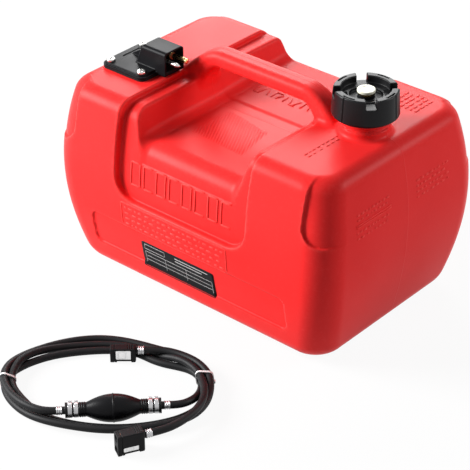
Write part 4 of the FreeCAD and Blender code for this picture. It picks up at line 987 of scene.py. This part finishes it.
def connectorForm(spec):
    length, half, height = spec["length"], spec["depth"] / 2, spec["height"]
    low, high = spec["low"], spec["high"]
    latchEnd, play = latch["start"] + latch["length"], latch["clearance"]
    f = fitting

    def form(x, y, z):
        section = roundBox(y, z - height / 2, half, height / 2, f["corner"])
        body = roundMax(roundMax(section, -x, 0.6), x - length, 1.8)
        reach = np.hypot(y, z - spec["barb"])
        neck = roundMax(reach - f["neck"], slab(x, length - 3, length + f["barbStart"]), 0.4)
        body = roundMin(body, neck, 0.5)
        barb = np.maximum(reach - f["barbRadius"], slab(x, length, length + f["barbEnd"]))
        body = roundMin(body, barb, 0.2)
        # mould step round the socket end, and grip ribs above and on the blind side
        ledge = np.maximum(np.abs(x - f["ledge"]) - f["ledgeHalf"], -(section + f["ledgeDepth"]))
        body = roundMax(body, -ledge, 0.15)
        for place in f["ribs"]:
            rib = np.maximum(np.abs(x - length + place) - f["ribHalf"], -(section + f["ribDepth"]))
            body = roundMax(body, -np.maximum(rib, -(y + half - f["ribFree"])), 0.2)
        pocket = roundMax(slab(x, latch["start"] - play, latchEnd + play),
                          slab(z, low - play, high + play), 0.4)
        body = roundMax(body, -np.maximum(pocket, y + half - latch["pocket"]), 0.3)
        arch = roundMax(slab(x, latch["start"] + 1, latchEnd), z - f["archTop"], 0.5)
        body = roundMax(body, -arch, 0.3)
        # two sockets, each with a chamfered mouth
        for side in (-1, 1):
            hole = np.hypot(y, z - height / 2 - side * spec["pitch"] / 2) - spec["socket"]
            body = roundMax(body, -np.maximum(hole, x - length + 5), 0.35)
            body = roundMax(body, -np.maximum(hole - 0.9, x - 0.7), 0.25)
        return body

    return form


def latchForm(spec):
    low, high = spec["low"], spec["high"]
    front = -spec["depth"] / 2 + latch["recess"]
    start, end = latch["start"], latch["start"] + latch["length"]
    back = front + latch["thickness"]

    def form(x, y, z):
        across = z - (low + high) / 2
        plate = roundBox(x - (start + end - latch["barrel"]) / 2, across,
                         (end - latch["barrel"] - start) / 2, (high - low) / 2, 1.0)
        plate = roundMax(plate, slab(y, front, back), 0.25)
        # pressed finger dimple, its outline a shallow groove
        ring = roundBox(x - start - latch["dimple"], across, latch["dimpleHalf"], (high - low) / 2 - 1.2, 1.0)
        plate = roundMax(plate, -np.maximum(np.abs(ring) - 0.3, y - front - 0.3), 0.15)
        lip = np.maximum(slab(x, start, start + 1), slab(z, low + 1, high - 1))
        lip = np.maximum(lip, slab(y, front, back + 0.6))
        barrel = np.hypot(x - end + latch["barrel"], y - front - latch["barrel"])
        tube = roundMax(barrel - latch["barrel"], slab(z, low, high), 0.2)
        form = roundMin(roundMin(plate, lip, 0.3), tube, 0.25)
        return roundMax(form, -(barrel - latch["pin"] - latch["pinPlay"]), 0.1)

    return form


for letter, spec in (("a", connectorA), ("b", connectorB)):
    matrix = linePlace(spec["u"], spec["v"], 0, spec["turn"])
    length, half = spec["length"], spec["depth"] / 2
    low, high = (-1, -half - 1, -1), (length + 9, half + 1, spec["height"] + 1)
    body = formPiece("connector_moulding_" + letter, connectorForm(spec), low, high, 0.42)
    body.matrix_world = matrix
    dress(body, "connector_plastic", "fuel_line", ["connector_body_" + letter])
    low, high = (4.6, -half - 0.4, 0), (21.4, -half + 4, spec["height"] + 1)
    plate = formPiece("latch_plate_" + letter, latchForm(spec), low, high, 0.3)
    plate.matrix_world = matrix
    dress(plate, "latch_steel", "latch_" + letter, ["connector_latch_" + letter])
    barbPlace = Matrix.Translation(Vector((0, 0, spec["barb"])) * mm)
    addClip("clip_" + letter, length + fitting["barbStart"], length + fitting["barbEnd"], matrix @ barbPlace)
print("fittings made")


# hose ties
tie = {
    "thickness": 0.9, "halfWidth": 1.2, "slack": 0.1, "head": (2.0, 3.4, 3.2), "floorGap": (0.05, 0.02),
    "coilEnd": 60.0, "stepsRound": 24, "stepsAlong": 12,
}


def hullLoop(centres, radius):
    # closed loop pulled tight round circles
    points = []
    steps = tie["stepsRound"]
    for a, b in centres:
        for s in range(steps):
            t = 2 * math.pi * s / steps
            points.append((a + radius * math.cos(t), b + radius * math.sin(t)))
    points = sorted(points)
    result = []
    for order in (points, points[::-1]):
        chain = []
        for p in order:
            while len(chain) > 1:
                (ax, ay), (bx, by) = chain[-2], chain[-1]
                if (bx - ax) * (p[1] - ay) - (by - ay) * (p[0] - ax) > 0:
                    break
                chain.pop()
            chain.append(p)
        result += chain[:-1]
    return result


def strandsAt(side, place):
    # where the hoses pass the line across the coil at one end: (along, height) of each pass
    found = []
    for route in (hoseA, hoseB):
        p = np.array(route, float)
        t = np.linspace(0, 1, tie["stepsAlong"], endpoint=False)[:, None]
        a, b, c = p[:-2, None], p[1:-1, None], p[2:, None]
        path = ((1 - t) ** 2 / 2 * a + (0.5 + t - t ** 2) * b + t ** 2 / 2 * c).reshape(-1, 3)
        for q, r in zip(path, path[1:]):
            if q[0] * side > tie["coilEnd"] and (q[1] - place) * (r[1] - place) <= 0 and q[1] != r[1]:
                here = q + (r - q) * (place - q[1]) / (r[1] - q[1])
                found.append((here[0], here[2]))
    return found


def addTie(name, side, place):
    # thin nylon strap round the strands, closed by a small square head on the outside
    strands = strandsAt(side, place)
    inner = fuelLine["hoseRadius"] + tie["slack"]
    loop, outer = hullLoop(strands, inner), hullLoop(strands, inner + tie["thickness"])
    bm = bmesh.new()
    rings = []
    for (a, b), (c, d) in zip(loop, outer):
        b, d = max(b, tie["floorGap"][0]), max(d, tie["floorGap"][1])
        corners = [(a, -1, b), (a, 1, b), (c, 1, d), (c, -1, d)]
        rings.append([bm.verts.new((x * mm, k * tie["halfWidth"] * mm, z * mm)) for x, k, z in corners])
    for n, ring in enumerate(rings):
        after = rings[(n + 1) % len(rings)]
        for i in range(4):
            j = (i + 1) % 4
            bm.faces.new((ring[i], ring[j], after[j], after[i]))
    rims = [e for e in bm.edges
            if abs(e.verts[0].co.y - e.verts[1].co.y) < 1e-7 and e.calc_face_angle(0) > 1.2]
    bmesh.ops.bevel(bm, geom=rims, offset=0.15 * mm, segments=2, affect="EDGES")
    edge = max(outer, key=lambda p: p[0] * side)
    head = bmesh.ops.create_cube(bm, size=1.0)["verts"]
    bmesh.ops.scale(bm, verts=head, vec=Vector(tie["head"]) * mm)
    bmesh.ops.translate(bm, verts=head, vec=Vector((edge[0] - 0.2 * side, 0, edge[1])) * mm)
    cubeEdges = {e for v in head for e in v.link_edges}
    bmesh.ops.bevel(bm, geom=list(cubeEdges), offset=0.4 * mm, segments=2, affect="EDGES")
    bmesh.ops.recalc_face_normals(bm, faces=bm.faces)
    data = bpy.data.meshes.new(name)
    bm.to_mesh(data)
    bm.free()
    data.shade_smooth()
    data.set_sharp_from_angle(angle=math.radians(crispAngle))
    piece = addObject(name, data)
    piece.matrix_world = linePlace(0, place, 0, 0)
    dress(piece, "tie_plastic", "fuel_line", ["coil_ties"])


addTie("tie_left", -1, 2.5)
addTie("tie_right", 1, 5.0)
print("ties made")


# relief and label, wrapped on the tank's own surface
relief = {
    "station": 4.0, "taper": 0.35, "endWidth": 0.55, "endHeight": 0.15,
    "section": ((-1.0, -0.6), (-0.72, 0.7), (-0.4, 1.0), (0.4, 1.0), (0.72, 0.7), (1.0, -0.6)),
    "shortest": 2.0, "wordGap": 2.2, "wordShare": 0.22,
    # for each side the axes of a, b and the ray, where the ray starts, and its direction
    "sides": {"front": ((0, 2, 1), -140.0, 1), "right": ((1, 2, 0), 190.0, -1),
              "top": ((0, 1, 2), 225.0, -1), "floor": ((0, 1, 2), 185.0, -1)},
}


def dropOn(side, flat):
    # places where rays from one side meet the tank, and the surface's normals there
    (u, v, w), start, way = relief["sides"][side]
    points = np.full((len(flat), 3), start)
    points[:, (u, v)] = flat
    steps, share = 60, 0.85
    for _ in range(steps):
        points[:, w] += way * share * tankForm(*points.T)
    return points, slopeOf(tankForm, points, 0.4)


def reliefPiece(name, side, bars, height, material):
    # soft raised bars: each (a, b, length, width, angle)
    flat, lifts, faces = [], [], []
    for a, b, length, width, angle in bars:
        t = math.radians(angle)
        c, s = math.cos(t), math.sin(t)
        count = max(3, int(length / relief["station"]) + 1)
        taper = width * relief["taper"]
        pitch = (length - 2 * taper) / (count - 1)
        narrow, low = relief["endWidth"], relief["endHeight"]
        stations = [(-length / 2, narrow, low)]
        stations += [(-length / 2 + taper + i * pitch, 1.0, 1.0) for i in range(count)]
        stations.append((length / 2, narrow, low))
        first, n = len(flat), len(relief["section"])
        for p, broad, top in stations:
            for q, h in relief["section"]:
                w = q * width / 2 * broad
                flat.append((a + p * c - w * s, b + p * s + w * c))
                lifts.append(height * min(h, top))
        for i in range(len(stations) - 1):
            for k in range(n - 1):
                v = first + i * n + k
                faces.append((v, v + 1, v + n + 1, v + n))
    points, normals = dropOn(side, flat)
    points = points + normals * np.array(lifts)[:, None]
    piece = meshFrom(name, points, np.array(faces))
    bm = bmesh.new()
    bm.from_mesh(piece.data)
    bmesh.ops.recalc_face_normals(bm, faces=bm.faces)
    bm.to_mesh(piece.data)
    bm.free()
    return dress(piece, "tank_plastic", "tank", ["tank_shell"], material)


def sheetPiece(name, side, low, high, corner, lift, thickness, step):
    # thin film on the surface, its corners rounded
    wide, tall = high[0] - low[0], high[1] - low[1]
    midA, midB = (low[0] + high[0]) / 2, (low[1] + high[1]) / 2
    na, nb = int(wide / step) + 1, int(tall / step) + 1
    flat = []
    for i in range(na + 1):
        for j in range(nb + 1):
            a, b = low[0] + wide * i / na, low[1] + tall * j / nb
            # draw the outermost points in round the corners
            p, q = abs(a - midA) - wide / 2 + corner, abs(b - midB) - tall / 2 + corner
            if p > 0 and q > 0 and math.hypot(p, q) > corner:
                k = corner / math.hypot(p, q)
                a -= math.copysign(p * (1 - k), a - midA)
                b -= math.copysign(q * (1 - k), b - midB)
            flat.append((a, b))
    points, normals = dropOn(side, flat)
    row = nb + 1
    corners = [i * row + j for i in range(na) for j in range(nb)]
    faces = [(n, n + row, n + row + 1, n + 1) for n in corners]
    piece = meshFrom(name, points + normals * lift, np.array(faces))
    solid = piece.modifiers.new("thickness", "SOLIDIFY")
    solid.thickness = thickness * mm
    solid.offset = 0
    return piece


def dashRows(low, high, rows, seed, length=(3.0, 7.5), width=2.2, gap=1.8, standing=False):
    # rows of short plain dashes, of uneven length; standing runs them along the second axis
    if standing:
        low, high = low[::-1], high[::-1]
    chance = np.random.default_rng(seed)
    bars = []
    for row in range(rows):
        b = high[1] - (high[1] - low[1]) * (row + 0.5) / rows
        a = low[0]
        while a < high[0] - length[0]:
            size = min(chance.uniform(*length), high[0] - a)
            if size < relief["shortest"]:
                break
            middle = a + size / 2
            bars.append((b, middle, size, width, 90) if standing else (middle, b, size, width, 0))
            a += size + gap * (relief["wordGap"] if chance.random() < relief["wordShare"] else 1.0)
    return bars


def frameBars(low, high, width):
    # four bars round a field
    a, b = (low[0] + high[0]) / 2, (low[1] + high[1]) / 2
    return [(a, low[1], high[0] - low[0], width, 0), (a, high[1], high[0] - low[0], width, 0),
            (low[0], b, high[1] - low[1], width, 90), (high[0], b, high[1] - low[1], width, 90)]


def dotWith(tree, place, x, y):
    values = {0: place, 1: (x, y, 0)}
    return addNode(tree, "ShaderNodeVectorMath", values, operation="DOT_PRODUCT").outputs["Value"]


def ribRegion(tree, place, edges, soft):
    # 1 inside the area bounded by straight edges (nx, ny, distance), 0 outside
    mask = None
    for nx, ny, reach in edges:
        part = rampBetween(tree, dotWith(tree, place, nx, ny), reach - soft, reach, 1.0, 0.0)
        mask = part if mask is None else math2(tree, "MINIMUM", mask, part)
    return mask


ribs = {
    "pitch": 0.003, "corners": [(-0.044, -0.062), (0.028, -0.067), (0.018, -0.014), (-0.040, -0.004)],
    "soft": 0.006, "across": (0.879, 0.476), "foot": (0.15, 0.16), "head": (0.176, 0.186),
}


def makeRibGroup():
    # diagonal grip ribs on the channel's floor, between its foot and its head in height
    group, inside, outside = newGroup("floorRibs", (("Pitch", "NodeSocketFloat", ribs["pitch"]),),
                                      (("Height", "NodeSocketFloat"),))
    place = objectPlace(group)
    corners, edges = ribs["corners"], []
    for (ax, ay), (bx, by) in zip(corners, corners[1:] + corners[:1]):
        length = math.hypot(bx - ax, by - ay)
        nx, ny = (by - ay) / length, (ax - bx) / length
        edges.append((nx, ny, nx * ax + ny * ay))
    mask = ribRegion(group, place, edges, ribs["soft"])
    height = addNode(group, "ShaderNodeSeparateXYZ", {0: place}).outputs["Z"]
    level = math2(group, "MULTIPLY", rampBetween(group, height, *ribs["foot"], 0.0, 1.0),
                  rampBetween(group, height, *ribs["head"], 1.0, 0.0))
    turns = math2(group, "DIVIDE", dotWith(group, place, *ribs["across"]), inside.outputs["Pitch"])
    wave = math2(group, "SINE", math2(group, "MULTIPLY", turns, 2 * math.pi), 0.0)
    shaped = math2(group, "MULTIPLY", rampBetween(group, wave, -0.3, 0.7, 0.0, 1.0), mask)
    group.links.new(math2(group, "MULTIPLY", shaped, level), outside.inputs["Height"])
    return group


seamLine = {"width": 0.0009, "noiseScale": 60.0, "wander": (0.0012, 0.0024)}


def makeSeamGroup():
    # parting lines of the blow mould: round the body at mid depth and along the handle
    group, inside, outside = newGroup("mouldSeam", (("Width", "NodeSocketFloat", seamLine["width"]),),
                                      (("Height", "NodeSocketFloat"),))
    place = objectPlace(group)
    axes = addNode(group, "ShaderNodeSeparateXYZ", {0: place})
    noise = noiseOf(group, place, seamLine["noiseScale"], 2.0)
    wander = rampBetween(group, noise, 0.3, 0.7, *seamLine["wander"])
    away = math2(group, "ABSOLUTE", math2(group, "SUBTRACT", axes.outputs["Y"], wander), 0.0)
    ridge = rampBetween(group, away, 0.0, inside.outputs["Width"], 1.0, 0.0)
    ridge.node.interpolation_type = "SMOOTHSTEP"
    group.links.new(ridge, outside.inputs["Height"])
    return group


red = {
    "colour": (0.83, 0.026, 0.026), "deep": (0.78, 0.021, 0.021), "worn": (0.95, 0.1, 0.09), "wear": 0.35,
    "wearStart": 0.505, "wearEnd": 0.56, "grain": 1500.0, "mottle": 9.0, "rough": (0.34, 0.42),
    "specular": 0.07,
    "grainBump": (0.1, 0.0002), "ribBump": (1.0, 0.0009), "seamBump": (0.4, 0.0004),
    "glow": 0.08, "glowRadius": (0.01, 0.002, 0.001), "glowScale": 0.5,
}


def tankMaterial():
    material, tree, shader = newMaterial("tank_plastic")
    grain = useGroup(tree, grainGroup, Scale=red["grain"], Mottle_Scale=red["mottle"])
    edges = useGroup(tree, edgeGroup, Start=red["wearStart"], End=red["wearEnd"])
    floorRibs = useGroup(tree, makeRibGroup())
    seam = useGroup(tree, makeSeamGroup())
    toned = mixColour(tree, mottled(tree, grain, 0.0, 1.0), red["colour"], red["deep"])
    worn = mixColour(tree, math2(tree, "MULTIPLY", edges.outputs["Mask"], red["wear"]), toned, red["worn"])
    normal = addBump(tree, grain.outputs["Height"], *red["grainBump"])
    normal = addBump(tree, floorRibs.outputs["Height"], *red["ribBump"], normal)
    normal = addBump(tree, seam.outputs["Height"], *red["seamBump"], normal)
    joinShader(tree, shader, worn, mottled(tree, grain, *red["rough"]), normal, red["specular"])
    shader.inputs["Subsurface Weight"].default_value = red["glow"]
    shader.inputs["Subsurface Radius"].default_value = red["glowRadius"]
    shader.inputs["Subsurface Scale"].default_value = red["glowScale"]
    return material


materials["tank_plastic"] = tankMaterial()
dress(tankBody, "tank_plastic", "tank", ["tank_shell"])


def strokeMarks(start, pitch, middle, height, width, angles):
    # row of plain strokes of letter height, each at its own angle
    return [(start + pitch * n, middle, height, width, angle) for n, angle in enumerate(angles)]


# title frames, every second one open at one side
titleBars = []
for n in range(8):
    titleBars += frameBars((-74.5 + 17 * n, 122), (-62.5 + 17 * n, 147), 2.2)[:4 - n % 2]
fieldBars = frameBars((-82, 72.5), (57, 102), 1.6) + dashRows((-78, 74.5), (54, 100), 4, 3)
topBars = dashRows((108, 60), (143, 92), 6, 5, (4.0, 9.0), 2.8, 1.4, standing=True)
topBars += dashRows((110, -76), (120, -25), 2, 15, (3.0, 6.0), 1.8, 2.4, standing=True)
sideBars = dashRows((-76, 157), (-26, 167), 2, 7, (2.5, 5.5), 2.4, 1.8)
sideBars += [(-51, 154.6, 54, 1.0, 0), (-51, 152.2, 54, 1.0, 0)]
sideBars += dashRows((-78, 138), (-28, 150), 2, 8, (2.5, 5.5), 2.4, 1.8)
sideBars += dashRows((16, 142), (69, 165), 4, 9, (3.0, 6.5), 2.6, 1.8)
floorBars = strokeMarks(-50, 7.6, 48, 11, 1.8, (90, 68, 112, 90, 68, 90, 112, 68, 90, 112))
floorBars += [(a, b, 8, 1.7, 0) for a, b in ((-46, 42), (-23, 54), (0, 42), (14, 54))]
for name, side, bars, height in (
        ("relief_front_title", "front", titleBars, 0.9), ("relief_front_field", "front", fieldBars, 0.5),
        ("relief_top_rows", "top", topBars, 0.6), ("relief_right_rows", "right", sideBars, 0.7),
        ("relief_floor_marks", "floor", floorBars, 0.8)):
    reliefPiece(name, side, bars, height, materials["tank_plastic"])


label = {
    "low": (-61, 31), "high": (36, 62), "corner": 2.0, "lift": 0.2, "thickness": 0.25, "step": 3.0,
    "printOut": 0.36, "grain": 2200.0, "mottle": 40.0, "depth": 0.8, "bump": (0.05, 0.0001), "specular": 0.08,
}


def labelMaterial(name, colour, rough):
    # printed film with a faint unevenness
    material, tree, shader = newMaterial(name)
    grain = useGroup(tree, grainGroup, Scale=label["grain"], Mottle_Scale=label["mottle"])
    shade = mixColour(tree, grain.outputs["Mottle"], colour, tuple(c * label["depth"] for c in colour))
    normal = addBump(tree, grain.outputs["Mottle"], *label["bump"])
    joinShader(tree, shader, shade, rough, normal, label["specular"])
    return material


filmBlack = labelMaterial("label_black", (0.007, 0.007, 0.008), 0.4)
filmPale = labelMaterial("label_pale", (0.5, 0.5, 0.5), 0.5)
film = sheetPiece("label_film", "front", label["low"], label["high"], label["corner"], label["lift"],
                  label["thickness"], label["step"])
dress(film, "tank_plastic", "tank", ["tank_shell"], filmBlack)
fields = frameBars((-57, 34.5), (32.5, 50), 0.5) + [(-12, 44.8, 89, 0.4, 0), (-12, 39.8, 89, 0.4, 0)]
fields += [(-30, 42.3, 15.5, 0.4, 90), (-2, 42.3, 15.5, 0.4, 90)]
fields += frameBars((-57, 53.5), (-30, 59), 0.5) + [(6, 58, 44, 1.0, 0), (2, 54.6, 36, 1.0, 0)]
marks = reliefPiece("label_fields", "front", fields, 0.12, filmPale)
moved(marks, 0, -label["printOut"], 0)
print("relief and label made")


# finishes for the solids that are kept
kept = {
    "screw_inserts": "brass", "pickup_spigot": "brass", "pickup_tube": "clear_hose",
    "pickup_strainer": "strainer_plastic", "cap_liner": "liner_plastic", "vent_seal": "gasket_rubber",
    "vent_clip": "steel", "poppet_left": "liner_plastic", "poppet_right": "liner_plastic",
    "connector_seal_a": "seal_rubber", "connector_seal_b": "seal_rubber", "connector_pin_a": "steel",
    "connector_pin_b": "steel",
}
for name, slotName in kept.items():
    coat(nodes[name], materials[slotName])

cords = {
    "hose_a": {"replaced": ["hose_coil", "hose_tail_a", "hose_stub_right"], "route": hoseA, "length": 0.66,
               "end": "fitting",
               "pieces": ["bulb_moulding", "bulb_straps", "valve_end_right", "clip_bulb_right"]},
    "hose_b": {"replaced": ["hose_coil", "hose_tail_b", "hose_stub_left"], "route": hoseB, "length": 0.966,
               "end": "connector", "pieces": ["connector_moulding_b", "latch_plate_b", "clip_b"]},
}
for name, spec in cords.items():
    dress(hoses[name], "hose_rubber", "fuel_line", spec["replaced"])


# floor and light
studio = {
    "floorReach": 6.0, "floorHeight": -0.0004, "floorColour": (0.55, 0.55, 0.55), "floorGlow": 1.03,
    "floorShare": 0.9, "fill": 0.12, "backdrop": 1.0, "aim": (0.02, -0.05, 0.1),
}


def seenRays(tree):
    # 1 for rays from the camera and for those that gloss or glass sends on
    path = tree.nodes.new("ShaderNodeLightPath").outputs
    seen = math2(tree, "MAXIMUM", path["Is Camera Ray"], path["Is Glossy Ray"])
    return math2(tree, "MAXIMUM", seen, path["Is Transmission Ray"])


def blendInto(tree, share, first, second, output):
    blend = addNode(tree, "ShaderNodeMixShader", {0: share, 1: first.outputs[0], 2: second.outputs[0]})
    tree.links.new(blend.outputs[0], tree.nodes[output].inputs["Surface"])


def floorMaterial():
    # matt under the lamps; where it is seen it is mostly plain white and keeps a tenth of its shade
    material, tree, shader = newMaterial("floor_white")
    tree.nodes.remove(shader)
    matt = addNode(tree, "ShaderNodeBsdfDiffuse", {"Color": (*studio["floorColour"], 1)})
    glow = addNode(tree, "ShaderNodeEmission", {"Color": (1, 1, 1, 1), "Strength": studio["floorGlow"]})
    share = math2(tree, "MULTIPLY", seenRays(tree), studio["floorShare"])
    blendInto(tree, share, matt, glow, "Material Output")
    return material


floorMesh = bpy.data.meshes.new("floor")
reach = studio["floorReach"]
floorMesh.from_pydata([(-reach, -reach, 0), (reach, -reach, 0), (reach, reach, 0), (-reach, reach, 0)], [],
                      [(0, 1, 2, 3)])
floorMesh.materials.append(floorMaterial())
floorPiece = addObject("floor", floorMesh)
floorPiece.location.z = studio["floorHeight"]
floorPiece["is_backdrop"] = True

world = bpy.data.worlds.new("studio")
world.use_nodes = True
bpy.context.scene.world = world
tree = world.node_tree
fill, backdrop = [addNode(tree, "ShaderNodeBackground", {"Color": (1, 1, 1, 1), "Strength": studio[name]})
                  for name in ("fill", "backdrop")]
blendInto(tree, seenRays(tree), fill, backdrop, "World Output")

lamps = {
    "key": {"place": (-1.05, -0.95, 0.8), "size": 0.8, "power": 54.0},
    "side": {"place": (1.3, 1.05, 0.9), "size": 0.7, "power": 16.0},
    "back": {"place": (-0.95, 1.15, 0.95), "size": 1.0, "power": 21.0},
}
for name, spec in lamps.items():
    data = bpy.data.lights.new(name, "AREA")
    data.shape = "DISK"
    data.size = spec["size"]
    data.energy = spec["power"]
    lamp = addObject(name, data)
    lamp.location = spec["place"]
    aim = Vector(studio["aim"]) - Vector(spec["place"])
    lamp.rotation_euler = aim.to_track_quat("-Z", "Y").to_euler()
bpy.context.scene.view_settings.view_transform = "Standard"

low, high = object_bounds()
print("floor and light made")
